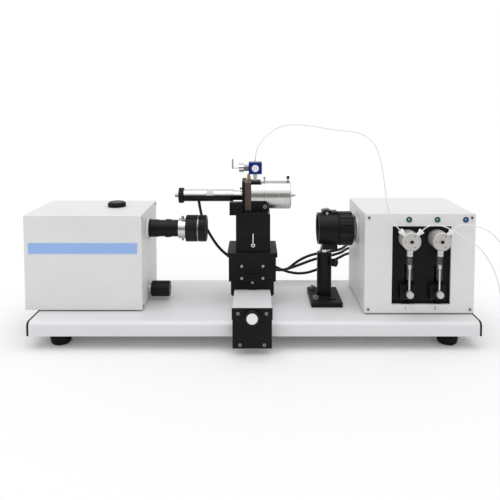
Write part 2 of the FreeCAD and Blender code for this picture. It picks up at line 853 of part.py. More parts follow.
# Stage that slides on the rail housing
def make_stage():
    rail_top = deck + rail_height
    saddle_low = rail_top + slide_gap
    saddle_top = rail_top + saddle_top_thickness
    half = saddle_width / 2
    inner = rail_width / 2 + slide_gap
    saddle = block(stage_x - half, stage_x + half, saddle_front, saddle_back, saddle_low, saddle_top)
    for side in (-1, 1):
        x0, x1 = sorted((stage_x + side * inner, stage_x + side * half))
        leg = block(x0, x1, saddle_front, saddle_back, rail_top - saddle_leg_drop, saddle_low)
        leg = leg.makeFillet(saddle_leg_radius, edges_along(
            leg, V(0, 1, 0), lambda p: p.z < saddle_low - saddle_leg_radius
            and side * (p.x - stage_x) > inner + (half - inner) / 2))
        saddle = saddle.fuse(leg)
    neck = block(stage_x - nut_neck_width / 2, stage_x + nut_neck_width / 2, -nut_length / 2, nut_length / 2,
                 deck + lead_screw_lift, saddle_low)
    nut = rod("Y", (stage_x, deck + lead_screw_lift), -nut_length / 2, nut_length / 2, nut_radius)
    saddle = saddle.fuse([neck, nut]).cut(
        rod("Y", (stage_x, deck + lead_screw_lift), saddle_front, saddle_back, lead_screw_radius + running_gap))
    nodes["saddle"] = saddle.removeSplitter()

    body_top = saddle_top + body_height
    half = body_width / 2
    body = block(stage_x - half, stage_x + half, body_front, body_back, saddle_top, body_top)
    for side in (-1, 1):
        x = stage_x + side * (half - body_groove_inset)
        body = body.cut(block(x - body_groove_width / 2, x + body_groove_width / 2, body_front - overrun,
                              body_front + body_groove_depth, saddle_top - overrun, body_top + overrun))
    pocket_top = body_top - body_pocket_drop
    pocket = block(stage_x - body_pocket_width / 2, stage_x + body_pocket_width / 2, body_front - overrun,
                   body_front + body_pocket_depth, pocket_top - body_pocket_height, pocket_top)
    low_corners = edges_along(pocket, V(0, 1, 0), lambda p: p.z < pocket_top - body_pocket_height / 2)
    pocket = pocket.makeFillet(body_pocket_height * body_pocket_corner_share, low_corners)
    body = body.cut(pocket)
    screws = []
    for side in (-1, 1):
        for drop in (body_screw_high_drop, body_screw_low_drop):
            place = (stage_x + side * body_screw_span_x / 2, body_top - drop)
            body = body.cut(rod("Y", place, body_front - overrun, body_front + stage_screw_length,
                                stage_screw_radius + seat_gap))
            screws.append(screw("Y", place, body_front, -1, stage_screw_head_radius, stage_screw_head_height,
                                stage_screw_radius, stage_screw_length))
    place = (stage_x, saddle_top - saddle_screw_drop)
    screws.append(screw("Y", place, saddle_front, -1, stage_screw_head_radius, stage_screw_head_height,
                        stage_screw_radius, stage_screw_length))
    nodes["saddle"] = nodes["saddle"].cut(rod("Y", place, saddle_front - overrun,
                                              saddle_front + stage_screw_length, stage_screw_radius + seat_gap))
    for x, z in body_gland_places:
        body = body.fuse(rod("Y", (x, z), body_back, body_back + body_gland_length, body_gland_radius))
    nodes["stage_body"] = body.removeSplitter()
    nodes["stage_screws"] = group(screws)

    plate_top = body_top + plate_thickness
    half = plate_width / 2
    plate = block(stage_x - half, stage_x + half, plate_front, plate_back, body_top, plate_top)
    nodes["stage_plate"] = plate.makeChamfer(sheet / 2, edges_along(plate, V(0, 0, 1), lambda p: True))

    tower_top = plate_top + tower_base_height
    half = tower_width / 2
    tower = block(tower_x - half, tower_x + half, tower_front, tower_back, plate_top, tower_top)
    tower = tower.makeChamfer(tower_edge_chamfer, edges_along(tower, V(0, 0, 1), lambda p: True))
    for side in (-1, 1):
        tower = tower.cut(rod("Z", (tower_x + side * guide_pin_span / 2, guide_pin_y),
                              tower_top - guide_pin_length - overrun, tower_top + overrun,
                              guide_pin_radius + running_gap))
    lever_centre = (tower_x, tower_top - clamp_lever_drop)
    tower = tower.cut(rod("Y", lever_centre, tower_front - overrun, tower_front + clamp_lever_shank_length,
                          clamp_lever_shank_radius + running_gap))
    nodes["tower_base"] = tower

    hub_start = tower_front - free_gap - clamp_lever_hub_length
    hub = rod("Y", lever_centre, hub_start, tower_front - free_gap, clamp_lever_hub_radius)
    shank = rod("Y", lever_centre, tower_front - free_gap, tower_front + clamp_lever_shank_length - overrun,
                clamp_lever_shank_radius)
    arm = rod("Z", (tower_x, hub_start + clamp_lever_hub_length / 2), lever_centre[1],
              lever_centre[1] + clamp_lever_arm_length, clamp_lever_arm_radius)
    lever = hub.fuse([shank, arm]).cut(hexagon("Y", lever_centre, hub_start - overrun,
                                               hub_start + clamp_lever_socket_depth, clamp_lever_socket_radius))
    nodes["clamp_lever"] = lever.removeSplitter()
    return tower_top


def make_tower_head(tower_top):
    half = tower_width / 2
    low = tower_top + tower_seam_gap
    top = low + tower_head_height
    head = block(tower_x - half, tower_x + half, tower_front, tower_back, low, top)
    head = head.makeChamfer(tower_edge_chamfer, edges_along(head, V(0, 0, 1), lambda p: True))
    wedge_x = tower_x + half
    wedge = Part.Face(Part.makePolygon([
        V(wedge_x - tower_head_chamfer, tower_front - overrun, top + overrun),
        V(wedge_x + overrun, tower_front - overrun, top + overrun),
        V(wedge_x + overrun, tower_front - overrun, top - tower_head_chamfer),
        V(wedge_x - tower_head_chamfer, tower_front - overrun, top + overrun)]))
    head = head.cut(wedge.extrude(V(0, tower_back - tower_front + 2 * overrun, 0)))
    for side in (-1, 1):
        head = head.fuse(rod("Z", (tower_x + side * guide_pin_span / 2, guide_pin_y),
                             low - guide_pin_length, low, guide_pin_radius))
    nodes["tower_head"] = head.removeSplitter()
    return top


# Head: plates, cell cylinder, barrel
def make_head(tower_top):
    barrel_z = head_z + barrel_lift_offset
    plate_top = tower_top + cell_plate_height
    clamp_right = clamp_plate_left + clamp_plate_thickness
    half = clamp_plate_width / 2
    clamp = block(clamp_plate_left, clamp_right, -half, half, tower_top, plate_top)
    clamp = clamp.makeChamfer(sheet, edges_along(clamp, V(1, 0, 0), lambda p: p.z > tower_top + half / 2))
    bracket_top = barrel_z - barrel_radius - free_gap
    ribs_top = bracket_top + rib_bracket_rise
    ribs_low = ribs_top - rib_bracket_height
    bracket = block(clamp_plate_left - rib_bracket_length, clamp_plate_left, tower_front - rib_bracket_width,
                    tower_front - free_gap, ribs_low, ribs_top)
    bracket = bracket.fuse(block(clamp_plate_left - rib_bracket_length, clamp_plate_left,
                                 tower_front - free_gap - sheet, 0, tower_top + free_gap, bracket_top))
    pitch = rib_bracket_height / rib_bracket_ribs
    for index in range(1, rib_bracket_ribs):
        z = ribs_low + index * pitch
        bracket = bracket.cut(block(clamp_plate_left - rib_bracket_length - overrun, clamp_plate_left,
                                    tower_front - rib_bracket_width - overrun,
                                    tower_front - rib_bracket_width + rib_bracket_groove,
                                    z - rib_bracket_groove / 2, z + rib_bracket_groove / 2))
    clamp = clamp.fuse(bracket)
    nodes["clamp_plate"] = clamp.removeSplitter()

    cell_right = clamp_right + cell_plate_thickness
    half = cell_plate_width / 2
    cell = block(clamp_right, cell_right, -half, half, tower_top, tower_top + cell_plate_height)
    nodes["cell_plate"] = cell.makeChamfer(sheet / 2, edges_along(cell, V(1, 0, 0), lambda p: True))

    end = cell_right + cylinder_length
    seam = cell_right + cylinder_length * cylinder_seam_x_share
    cylinder = turned("X", (head_y, head_z), [
        (cell_right, 0), (cell_right, cylinder_radius),
        (seam, cylinder_radius), (seam, cylinder_radius - cylinder_seam_depth),
        (seam + cylinder_seam_width, cylinder_radius - cylinder_seam_depth),
        (seam + cylinder_seam_width, cylinder_radius), (end - cylinder_edge, cylinder_radius),
        (end, cylinder_radius - cylinder_edge), (end, nipple_radius), (end + nipple_length, nipple_radius),
        (end + nipple_length, nipple_tip_radius), (end + nipple_length + nipple_tip_length, nipple_tip_radius),
        (end + nipple_length + nipple_tip_length, 0)])
    nodes["cell_cylinder"] = cylinder

    cradle_top = head_z - cradle_drop
    cradle_end = cell_right + cradle_length
    cradle_front = -cradle_width / 2
    side = Part.Face(Part.makePolygon([
        V(cell_right, cradle_front, tower_top), V(cradle_end, cradle_front, tower_top),
        V(cradle_end - cradle_slant, cradle_front, cradle_top), V(cell_right, cradle_front, cradle_top),
        V(cell_right, cradle_front, tower_top)]))
    cradle = side.extrude(V(0, cradle_width, 0))
    cradle = cradle.cut(rod("X", (head_y, head_z), cell_right - overrun, end, cylinder_radius + cradle_gap))
    screw_place = (cradle_screw_x, head_z - cradle_screw_drop)
    cradle = cradle.cut(rod("Y", screw_place, cradle_front - overrun, cradle_front + cradle_screw_length
                            + seat_gap, cradle_screw_shank_radius + seat_gap))
    strip = block(cell_right, cell_right + cell_strip_length, head_y - cell_strip_width / 2,
                  head_y + cell_strip_width / 2, head_z + cylinder_radius / 2, head_z + cylinder_radius
                  + cell_strip_height)
    strip = strip.cut(rod("X", (head_y, head_z), cell_right - overrun, end, cylinder_radius + seat_gap))
    nodes["clamp_plate"] = group([nodes["clamp_plate"], cradle, strip])

    screws = []
    for share, ball in ((cell_screw_first_share, False), (cell_screw_second_share, True)):
        x = cell_right + cylinder_length * share
        stalk = rod("Z", (x, head_y), head_z + cylinder_radius + seat_gap,
                    head_z + cylinder_radius + seat_gap + cell_screw_height, cell_screw_radius / 2)
        top = head_z + cylinder_radius + cell_screw_height
        if ball:
            tip = Part.makeSphere(cell_screw_ball_radius, V(x, head_y, top))
        else:
            tip = rod("Z", (x, head_y), top - cell_screw_radius, top + cell_screw_radius / 2, cell_screw_radius)
        screws.append(stalk.fuse(tip).removeSplitter())
    head = screw("Y", screw_place, cradle_front, -1, cradle_screw_radius, cradle_screw_height,
                 cradle_screw_shank_radius, cradle_screw_length)
    head_front = cradle_front - cradle_screw_height
    screws.append(head.cut(hexagon("Y", screw_place, head_front - overrun, head_front + cradle_socket_depth,
                                   cradle_socket_radius)))
    knob_z = head_z + side_knob_lift
    shank = rod("X", (-barrel_radius, knob_z), clamp_plate_left - side_knob_length, clamp_plate_left,
                side_knob_shank_radius)
    knob = rod("X", (-barrel_radius, knob_z), clamp_plate_left - 2 * side_knob_length,
               clamp_plate_left - side_knob_length, side_knob_radius)
    screws.append(shank.fuse(knob).removeSplitter())
    nodes["head_screws"] = group(screws)

    centre = (head_y, barrel_z)
    window_end = barrel_window_start_x + barrel_window_length
    barrel = turned("X", centre, [
        (barrel_end_x, 0), (barrel_end_x, barrel_radius),
        (barrel_window_start_x, barrel_radius), (barrel_window_start_x, barrel_radius - barrel_window_depth),
        (window_end, barrel_radius - barrel_window_depth), (window_end, barrel_radius),
        (barrel_neck_start_x, barrel_radius), (barrel_neck_start_x, barrel_neck_radius),
        (clamp_plate_left, barrel_neck_radius), (clamp_plate_left, 0)])
    stub_hole = rod("X", centre, barrel_end_x - overrun, barrel_end_x + barrel_stub_inner + overrun,
                    barrel_stub_radius + running_gap)
    window = tube("X", centre, barrel_window_start_x + seat_gap, window_end - seat_gap,
                  barrel_radius + seat_gap, barrel_radius - barrel_window_depth + seat_gap)
    gland = rod("Z", (0, 0), barrel_radius * barrel_gland_seat_share, barrel_radius + barrel_gland_length, barrel_gland_radius)
    gland.rotate(V(0, 0, 0), V(1, 0, 0), HALF_TURN + barrel_gland_tilt)
    gland.translate(V(barrel_gland_x, head_y, barrel_z))
    gland = gland.cut(rod("X", centre, barrel_end_x, clamp_plate_left, barrel_radius + seat_gap))
    nodes["dosing_barrel"] = group([barrel.cut(stub_hole), window, gland])

    knob_end = barrel_end_x - free_gap
    knob_start = knob_end - barrel_knob_length
    knob = ribbed("X", centre, knob_start, knob_end, barrel_knob_radius, barrel_knob_rib_depth,
                  barrel_knob_ribs, barrel_knob_rib_depth)
    knob = knob.cut(rod("X", centre, knob_start - overrun, knob_end + overrun, barrel_stub_radius + seat_gap))
    stub = rod("X", centre, knob_start - barrel_stub_length, barrel_end_x + barrel_stub_inner, barrel_stub_radius)
    nodes["barrel_knob"] = group([knob, stub])


def make_valve(tower_top):
    plate_top = tower_top + cell_plate_height
    low = deck + cube_low_lift
    top = low + cube_height
    middle = low + cube_height / 2
    cube = block(cube_x - cube_width / 2, cube_x + cube_width / 2, -cube_depth / 2, cube_depth / 2, low, top)
    cube = cube.makeChamfer(cube_edge, cube.Edges)
    face = rod("Y", (cube_x, middle), -cube_depth / 2 - cube_face_height, -cube_depth / 2, cube_face_radius)
    nodes["valve_cube"] = group([cube, face])

    cone = turned("Z", (cube_stem_x, 0), [
        (plate_top, 0), (plate_top, cube_cone_radius), (plate_top + cube_cone_height, cube_cone_top_radius),
        (plate_top + cube_cone_height, cube_stem_radius), (low, cube_stem_radius), (low, 0)])
    knob_low = head_z + cylinder_radius + cell_strip_height
    white = turned("Z", (white_knob_x, 0), [
        (knob_low, 0), (knob_low, cube_stem_radius), (low - white_knob_height, cube_stem_radius),
        (low - white_knob_height, white_knob_radius * white_knob_end_share),
        (low - white_knob_height / 2, white_knob_radius),
        (low, white_knob_radius * white_knob_end_share), (low, 0)])
    left = cube_x - cube_width / 2
    port = hexagon("X", (0, middle), left - cube_port_length, left, cube_port_radius)
    port = port.cut(rod("X", (0, middle), left - cube_port_length - overrun, left + overrun,
                        lever_spindle_radius + running_gap))
    top_port = tube("Z", (cube_x, 0), top, top + cube_top_port_length, cube_top_port_radius,
                    line_diameter / 2 + seat_gap)
    nodes["cube_fittings"] = group([cone, white, port, top_port])

    nut_end = left - cube_port_length - free_gap
    nut_start = nut_end - lever_nut_length
    nut = ribbed("X", (0, middle), nut_start, nut_end, lever_nut_radius, cube_edge, lever_nut_ribs)
    spindle = rod("X", (0, middle), nut_end, left - free_gap, lever_spindle_radius)
    arm = rod("X", (0, middle), nut_start - lever_arm_length, nut_start, lever_arm_radius)
    upright = rod("Z", (nut_start - lever_arm_length, 0), middle - lever_rod_radius, middle + lever_rod_height,
                  lever_rod_radius)
    nodes["valve_lever"] = nut.fuse([spindle, arm, upright]).removeSplitter()


# Post with the optic
def post_plate_screw_places():
    x = post_plate_left + post_plate_screw_inset
    yield x, post_plate_front + post_plate_screw_inset * 2
    yield x, post_plate_back - post_plate_screw_inset


def make_post():
    top = deck + post_plate_thickness
    right = post_plate_left + post_plate_width
    plate = block(post_plate_left, right, post_plate_front, post_plate_back, deck, top)
    plate = plate.makeChamfer(sheet / 2, edges_along(plate, V(0, 0, 1), lambda p: True))
    for x, y in post_plate_screw_places():
        plate = plate.cut(rod("Z", (x, y), deck - overrun, top + overrun, post_plate_screw_radius + seat_gap))
    slot_x = right - post_plate_slot_x
    slot_y = post_plate_front + post_plate_slot_inset
    half_slot = post_plate_slot_length / 2 - post_plate_slot_radius
    slot = rod("Z", (slot_x - half_slot, slot_y), deck - overrun, top + overrun, post_plate_slot_radius)
    slot = slot.fuse(rod("Z", (slot_x + half_slot, slot_y), deck - overrun, top + overrun,
                         post_plate_slot_radius))
    slot = slot.fuse(block(slot_x - half_slot, slot_x + half_slot, slot_y - post_plate_slot_radius,
                           slot_y + post_plate_slot_radius, deck - overrun, top + overrun))
    nodes["post_plate"] = plate.cut(slot)

    holder_top = top + post_holder_height
    bore_low = holder_top - post_bore_depth
    bore = post_radius + running_gap
    holder = turned("Z", (post_x, post_y), [
        (top, 0), (top, post_holder_radius), (holder_top - post_holder_chamfer, post_holder_radius),
        (holder_top, post_holder_radius - post_holder_chamfer), (holder_top, bore), (bore_low, bore),
        (bore_low, 0)])
    screw_z = holder_top - post_screw_drop
    hole = rod("X", (0, 0), 0, post_holder_radius + overrun, post_screw_radius + running_gap)
    knob_start = post_holder_radius + post_screw_stand
    knob = ribbed("X", (0, 0), knob_start, knob_start + post_screw_knob_length, post_screw_knob_radius,
                  post_screw_rib_depth, post_screw_ribs, post_screw_rib_depth)
    shank = rod("X", (0, 0), bore + running_gap, knob_start, post_screw_radius)
    knob = knob.fuse(shank)
    for piece in (hole, knob):
        piece.rotate(V(0, 0, 0), V(0, 0, 1), post_screw_turn)
        piece.translate(V(post_x, post_y, screw_z))
    nodes["post_holder"] = holder.cut(hole)
    nodes["post_screw"] = knob.removeSplitter()

    optic_low = axis_z - optic_body_radius - optic_block_drop
    post_low = holder_top - post_rest_insert
    collar_low = holder_top + post_collar_lift
    post = rod("Z", (post_x, post_y), post_low, optic_low, post_radius)
    collar = rod("Z", (post_x, post_y), collar_low, optic_low, post_collar_radius)
    nodes["optic_post"] = post.fuse(collar).removeSplitter()

    body_start = optic_left + optic_front_length
    body_end = optic_left + optic_body_length + optic_front_length
    ring_start = body_end - ribbed_ring_gap
    sleeve_end = ring_start + ribbed_ring_length - 2 * optic_lip
    mount = turned("X", (post_y, axis_z), [
        (optic_left, optic_bore_radius + optic_lip), (optic_left, optic_front_radius),
        (body_start, optic_front_radius), (body_start, optic_body_radius), (body_end, optic_body_radius),
        (body_end, ribbed_ring_sleeve_radius), (sleeve_end, ribbed_ring_sleeve_radius),
        (sleeve_end, optic_bore_radius), (optic_left + optic_front_length, optic_bore_radius)])
    foot = block(body_start, body_start + optic_block_length, -optic_block_width / 2, optic_block_width / 2,
                 optic_low, axis_z - optic_bore_radius)
    bump_z = axis_z + optic_body_radius
    clamp = block(body_start, body_start + optic_clamp_length, -optic_clamp_width / 2, optic_clamp_width / 2,
                  axis_z + optic_bore_radius, bump_z + optic_clamp_height - optic_clamp_screw_height)
    clamp = clamp.makeChamfer(optic_lip, edges_along(clamp, V(0, 1, 0), lambda p: p.z > bump_z))
    bump = block(body_start + optic_clamp_length, body_start + optic_clamp_length + optic_bump_length,
                 -optic_clamp_width / 2, optic_clamp_width / 2, axis_z + optic_bore_radius,
                 bump_z + optic_bump_height / 2)
    bore_tool = rod("X", (post_y, axis_z), body_start - overrun, sleeve_end, optic_bore_radius + optic_lip / 2)
    nodes["optic_mount"] = mount.fuse([foot.cut(bore_tool), clamp.cut(bore_tool), bump.cut(bore_tool)]
                                      ).removeSplitter()
    seat = bump_z + optic_clamp_height - optic_clamp_screw_height
    cap = rod("Z", (body_start + optic_clamp_length / 2, 0), seat, seat + optic_clamp_screw_height,
              optic_clamp_screw_radius)
    cap = cap.cut(hexagon("Z", (body_start + optic_clamp_length / 2, 0), seat + optic_clamp_screw_height / 2,
                          seat + optic_clamp_screw_height + overrun, optic_clamp_screw_radius / 2))
    glass = turned("X", (post_y, axis_z), [
        (body_start + optic_lip, 0), (body_start + optic_lip * 2, optic_bore_radius / 2),
        (body_start + optic_lip * 3, optic_bore_radius - seat_gap),
        (body_start + optic_lip * 4, optic_bore_radius - seat_gap), (body_start + optic_lip * 4, 0)])
    nodes["optic_lens"] = glass
    nodes["optic_mount"] = group([nodes["optic_mount"], cap])
    ring = ribbed("X", (post_y, axis_z), body_end + ribbed_ring_gap, body_end + ribbed_ring_length,
                  ribbed_ring_radius, ribbed_ring_rib_depth, ribbed_ring_ribs, optic_lip)
    ring = ring.cut(rod("X", (post_y, axis_z), body_end, body_end + ribbed_ring_length + overrun,
                        ribbed_ring_sleeve_radius + running_gap))
    nodes["ribbed_ring"] = ring
    window = turned("X", (post_y, axis_z), [
        (pump_left - window_length, window_bore_radius), (pump_left - window_length, window_radius),
        (pump_left, window_radius), (pump_left, 0), (pump_left - window_glass_thickness, 0),
        (pump_left - window_glass_thickness, window_bore_radius)])
    nodes["light_window"] = window


# Pump housing
def pump_screw_places():
    for x in (pump_left + pump_screw_inset, pump_right - pump_screw_inset):
        for z in (housing_floor + pump_screw_inset, housing_floor + pump_height - pump_screw_inset):
            yield x, z


def make_pump_housing():
    top = housing_floor + pump_height
    panel_back = pump_front + front_panel_thickness
    housing = block(pump_left, pump_right, panel_back, pump_back, housing_floor, top)
    rounded = edges_along(housing, V(0, 1, 0), lambda p: p.z > top - sheet)
    rounded += edges_along(housing, V(0, 0, 1), lambda p: p.y > pump_back - sheet)
    housing = housing.makeFillet(sheet_edge_radius, rounded)
    housing = housing.cut(block(pump_left + sheet, pump_right - sheet, panel_back - overrun, pump_back - sheet,
                                housing_floor + sheet, top - sheet))
    for x, z in pump_screw_places():
        x_wall = pump_left + sheet if x < valve_x + pump_pitch / 2 else pump_right - sheet
        x_in = x_wall + (corner_post if x_wall < valve_x else -corner_post)
        z_wall = housing_floor + sheet if z < axis_z - corner_post * 2 else top - sheet
        z_in = z_wall + (corner_post if z_wall < axis_z else -corner_post)
        housing = housing.fuse(block(min(x_wall, x_in), max(x_wall, x_in), panel_back,
                                     panel_back + corner_post_length, min(z_wall, z_in), max(z_wall, z_in)))
        housing = housing.cut(rod("Y", (x, z), panel_back - overrun, pump_front + panel_screw_length + seat_gap,
                                  panel_screw_radius + seat_gap))
    nodes["pump_housing"] = housing.removeSplitter()

    panel = block(pump_left, pump_right, pump_front, panel_back, housing_floor, top)
    window = block(recess_left, recess_right, pump_front - overrun, panel_back + overrun,
                   deck + recess_low_lift, deck + recess_high_lift)
    panel = panel.cut(window)
    for x, z in pump_screw_places():
        panel = panel.cut(rod("Y", (x, z), pump_front - overrun, panel_back + overrun,
                              panel_screw_radius + seat_gap))
    lamps = []
    for index in range(lamp_count):
        place = (lamp_first_x + index * lamp_pitch, top - lamp_drop)
        panel = panel.cut(rod("Y", place, pump_front - overrun, panel_back + overrun, lamp_radius + seat_gap))
        lamp = turned("Y", place, [
            (panel_back, 0), (pump_front - lamp_height, 0), (pump_front - lamp_height, lamp_radius - sheet / 2),
            (pump_front - lamp_height / 2, lamp_radius), (panel_back, lamp_radius)])
        collar = tube("Y", place, pump_front - lamp_collar_height, pump_front, lamp_collar_radius,
                      lamp_radius + seat_gap)
        lamps += [lamp, collar]
    nodes["pump_front_panel"] = panel
    nodes["indicator_lamps"] = group(lamps)

    inner_back = pump_front + recess_depth
    drive = block(recess_left - corner_post / 2, recess_right + corner_post / 2, inner_back,
                  inner_back + drive_panel_thickness, deck + recess_low_lift - corner_post / 2,
                  deck + recess_high_lift + corner_post / 2)
    rim = block(recess_left - corner_post / 2, recess_right + corner_post / 2, panel_back, inner_back,
                deck + recess_low_lift - corner_post / 2, deck + recess_high_lift + corner_post / 2)
    rim = rim.cut(block(recess_left, recess_right, panel_back - overrun, inner_back + overrun,
                        deck + recess_low_lift, deck + recess_high_lift))
    drive = drive.fuse(rim)
    for index in range(pump_count):
        x = valve_x + index * pump_pitch
        drive = drive.cut(block(x - pump_slot_width / 2, x + pump_slot_width / 2, inner_back - overrun,
                                inner_back + drive_panel_thickness + overrun, deck + pump_slot_low_lift,
                                deck + pump_slot_high_lift))
    nodes["drive_panel"] = drive.removeSplitter()


def make_pumps():
    inner_back = pump_front + recess_depth
    bodies, fittings, collars, glasses = [], [], [], []
    valve_front = pump_front - valve_proud
    z = deck + valve_lift
    for index in range(pump_count):
        x = valve_x + index * pump_pitch
        body = turned("Y", (x, z), [
            (valve_front + valve_face_recess, rotor_radius + running_gap),
            (valve_front + valve_face_recess, valve_radius - valve_rim_width),
            (valve_front, valve_radius - valve_rim_width), (valve_front, valve_radius - valve_edge),
            (valve_front + valve_edge, valve_radius), (inner_back, valve_radius), (inner_back, 0),
            (inner_back - overrun, 0), (inner_back - overrun, rotor_radius + running_gap)])
        fitting_y = valve_front + fitting_head_radius + valve_edge
        angles = (-fitting_angle, fitting_angle) if index == 0 else (fitting_angle,)
        for angle in angles:
            nut = turned("Z", (0, 0), [
                (valve_radius - valve_edge * 2, fitting_tube_radius), (valve_radius - valve_edge * 2, fitting_radius),
                (valve_radius + fitting_length - fitting_head_length, fitting_radius),
                (valve_radius + fitting_length - fitting_head_length, fitting_head_radius),
                (valve_radius + fitting_length, fitting_head_radius),
                (valve_radius + fitting_length, fitting_tube_radius)])
            seat = rod("Z", (0, 0), valve_radius - valve_edge * 2, valve_radius + overrun, fitting_radius + seat_gap)
            for piece in (nut, seat):
                piece.rotate(V(0, 0, 0), V(0, 1, 0), angle)
                piece.translate(V(x, fitting_y, z))
            body = body.cut(seat)
            fittings.append(nut)
        bodies.append(body)
        rotor = rod("Y", (x, z), valve_front + valve_face_recess - rotor_proud, inner_back - overrun - free_gap,
                    rotor_radius)
        slot_front = valve_front + valve_face_recess - rotor_proud
        rotor = rotor.cut(block(x - rotor_radius - overrun, x + rotor_radius + overrun, slot_front - overrun,
                                slot_front + rotor_slot_depth, z - rotor_slot_width / 2, z + rotor_slot_width / 2))
        nodes["valve_rotor_%d" % (index + 1)] = rotor

        syringe_y = pump_front - syringe_proud
        collar_top = deck + collar_top_lift
        collar_low = collar_top - collar_height
        glass_low = collar_low - barrel_glass_length
        waist_low = collar_low + collar_height * collar_waist_low_share
        waist_high = collar_low + collar_height * collar_waist_high_share
        neck_radius = collar_radius * collar_neck_share
        # The collar's neck reaches up into the valve's round side.
        neck_top = z - math.sqrt(valve_radius ** 2 - collar_radius ** 2) + seat_gap
        collar = turned("Z", (x, syringe_y), [
            (collar_low, 0), (collar_low, collar_radius), (waist_low, collar_radius),
            (waist_low, collar_radius - collar_waist), (waist_high, collar_radius - collar_waist),
            (waist_high, collar_radius), (collar_top, collar_radius), (collar_top, neck_radius),
            (neck_top, neck_radius), (neck_top, 0)])
        collar = collar.cut(rod("Y", (x, z), valve_front - overrun, inner_back, valve_radius + seat_gap))
        collars.append(collar)
        glasses.append(tube("Z", (x, syringe_y), glass_low, collar_low, barrel_glass_radius, barrel_glass_bore))
        make_pump_slide(index, x, syringe_y)
    nodes["valve_bodies"] = group(bodies)
    nodes["valve_fittings"] = group(fittings)
    nodes["syringe_collars"] = group(collars)
    nodes["syringe_barrels"] = group(glasses)


def make_pump_slide(index, x, syringe_y):
    inner_back = pump_front + recess_depth
    low = deck + pump_carriage_lift
    high = low + pump_carriage_height
    back = inner_back - free_gap
    carriage = block(x - pump_carriage_width / 2, x + pump_carriage_width / 2, back - pump_carriage_depth, back,
                     low, high)
    carriage = carriage.makeChamfer(pump_carriage_edge, edges_along(carriage, V(0, 0, 1),
                                                                    lambda p: p.y < back - pump_carriage_edge))
    tongue = block(x - pump_slot_width / 2 + free_gap, x + pump_slot_width / 2 - free_gap, back,
                   back + pump_tongue_length, low + pump_carriage_edge, high - pump_carriage_edge)
    carriage = carriage.fuse(tongue)
    carriage = carriage.removeSplitter()

    front = back - pump_carriage_depth
    rod_low = low + pump_carriage_height / 2
    piston_z = deck + piston_lift
    plunger = rod("Z", (x, syringe_y), rod_low, piston_z, plunger_rod_radius)
    piston = rod("Z", (x, syringe_y), piston_z, piston_z + piston_length, piston_radius)
    eye = block(x - plunger_rod_radius * 2, x + plunger_rod_radius * 2, syringe_y - plunger_rod_radius,
                front, rod_low - plunger_rod_radius * 2, rod_low + plunger_rod_radius * 2)
    plunger = plunger.fuse([piston, eye]).removeSplitter()
    screw_back = syringe_y - plunger_rod_radius
    thumb = ribbed("Y", (x, rod_low), screw_back - thumb_screw_length, screw_back, thumb_screw_radius,
                   thumb_screw_rib_depth, thumb_screw_ribs, thumb_screw_rib_depth)
    nodes["pump_slide_%d" % (index + 1)] = group([carriage, plunger, thumb])


def make_rear_sockets():
    sockets = []
    for index in range(rear_socket_count):
        place = (rear_socket_x, deck + rear_socket_lift + index * rear_socket_pitch)
        flange = hexagon("Y", place, pump_back, pump_back + rear_socket_length, rear_socket_radius)
        sockets.append(flange)
        sockets.append(turned("Y", place, [
            (pump_back + rear_socket_length, 0), (pump_back + rear_socket_length, rear_plug_radius),
            (pump_back + rear_socket_length + rear_plug_length * rear_plug_straight_share, rear_plug_radius),
            (pump_back + rear_socket_length + rear_plug_length, rear_plug_radius / 2),
            (pump_back + rear_socket_length + rear_plug_length, 0)]))
    nodes["rear_sockets"] = group(sockets)


# Cords
def cord_path(points):
    """Straight runs joined by tangent arcs, as edges, with their radii."""
    route = [V(*point) for point in points]
    edges, radii = [], []
    start = route[0]
    for before, corner, after in zip(route, route[1:], route[2:]):
        run_in = corner.sub(before)
        run_out = after.sub(corner)
        shorter = min(run_in.Length, run_out.Length)
        direction_in = V(run_in).normalize()
        direction_out = V(run_out).normalize()
        turn = math.acos(max(-1.0, min(1.0, direction_in.dot(direction_out))))
        reach = cord_radius_share * shorter
        radii.append(reach / math.tan(turn / 2))
        first = corner.sub(direction_in * reach)
        last = corner.add(direction_out * reach)
        bisector = direction_out.sub(direction_in).normalize()
        radius = radii[-1]
        centre_distance = radius / math.cos(turn / 2)
        middle = corner.add(bisector * (centre_distance - radius))
        edges.append(Part.LineSegment(start, first).toShape())
        edges.append(Part.Arc(first, middle, last).toShape())
        start = last
    edges.append(Part.LineSegment(start, route[-1]).toShape())
    return edges, radii


def cord(name, points, diameter):
    edges, radii = cord_path(points)
    wire = Part.Wire(edges)
    along = edges[0].tangentAt(edges[0].FirstParameter)
    circle = Part.Wire([Part.Circle(V(*points[0]), along, diameter / 2).toShape()])
    solid = wire.makePipeShell([circle], True, False)
    section = math.pi * (diameter / 2) ** 2
    share = solid.Volume / (section * wire.Length)
    print(name, "length", round(wire.Length, 1), "least radius", round(min(radii), 1), "volume share",
          round(share, 4), "solids", len(solid.Solids))
    cords[name] = solid


# The routes are chosen by hand, in millimetres from the middle of the base.
dosing_line_route = [
    (1.9, 0.0, 285.4), (1.9, 0.0, 303.0), (19.2, -5.0, 327.2), (47.2, -15.0, 347.4), (87.8, -30.0, 346.8),
    (129.6, -50.0, 339.6), (165.5, -68.0, 337.8), (187.0, -80.0, 323.2), (195.7, -90.0, 296.4),
    (200.4, -97.0, 260.4), (206.0, -96.0, 217.0), (218.7, -86.6, 194.1), (228.56, -86.6, 184.24)]
supply_line_route = [
    (262.64, -86.6, 184.24), (271.1, -86.6, 192.7), (288.0, -98.0, 196.0), (306.0, -107.0, 188.0),
    (322.0, -110.0, 178.0), (340.0, -112.0, 167.0), (356.0, -112.5, 147.0), (369.0, -112.0, 122.0),
    (376.5, -111.0, 94.0), (381.0, -110.0, 66.0), (388.0, -107.0, 38.0), (401.0, -102.0, 15.0),
    (420.0, -97.0, 3.0), (437.0, -94.0, 1.2), (453.0, -89.0, 1.0)]
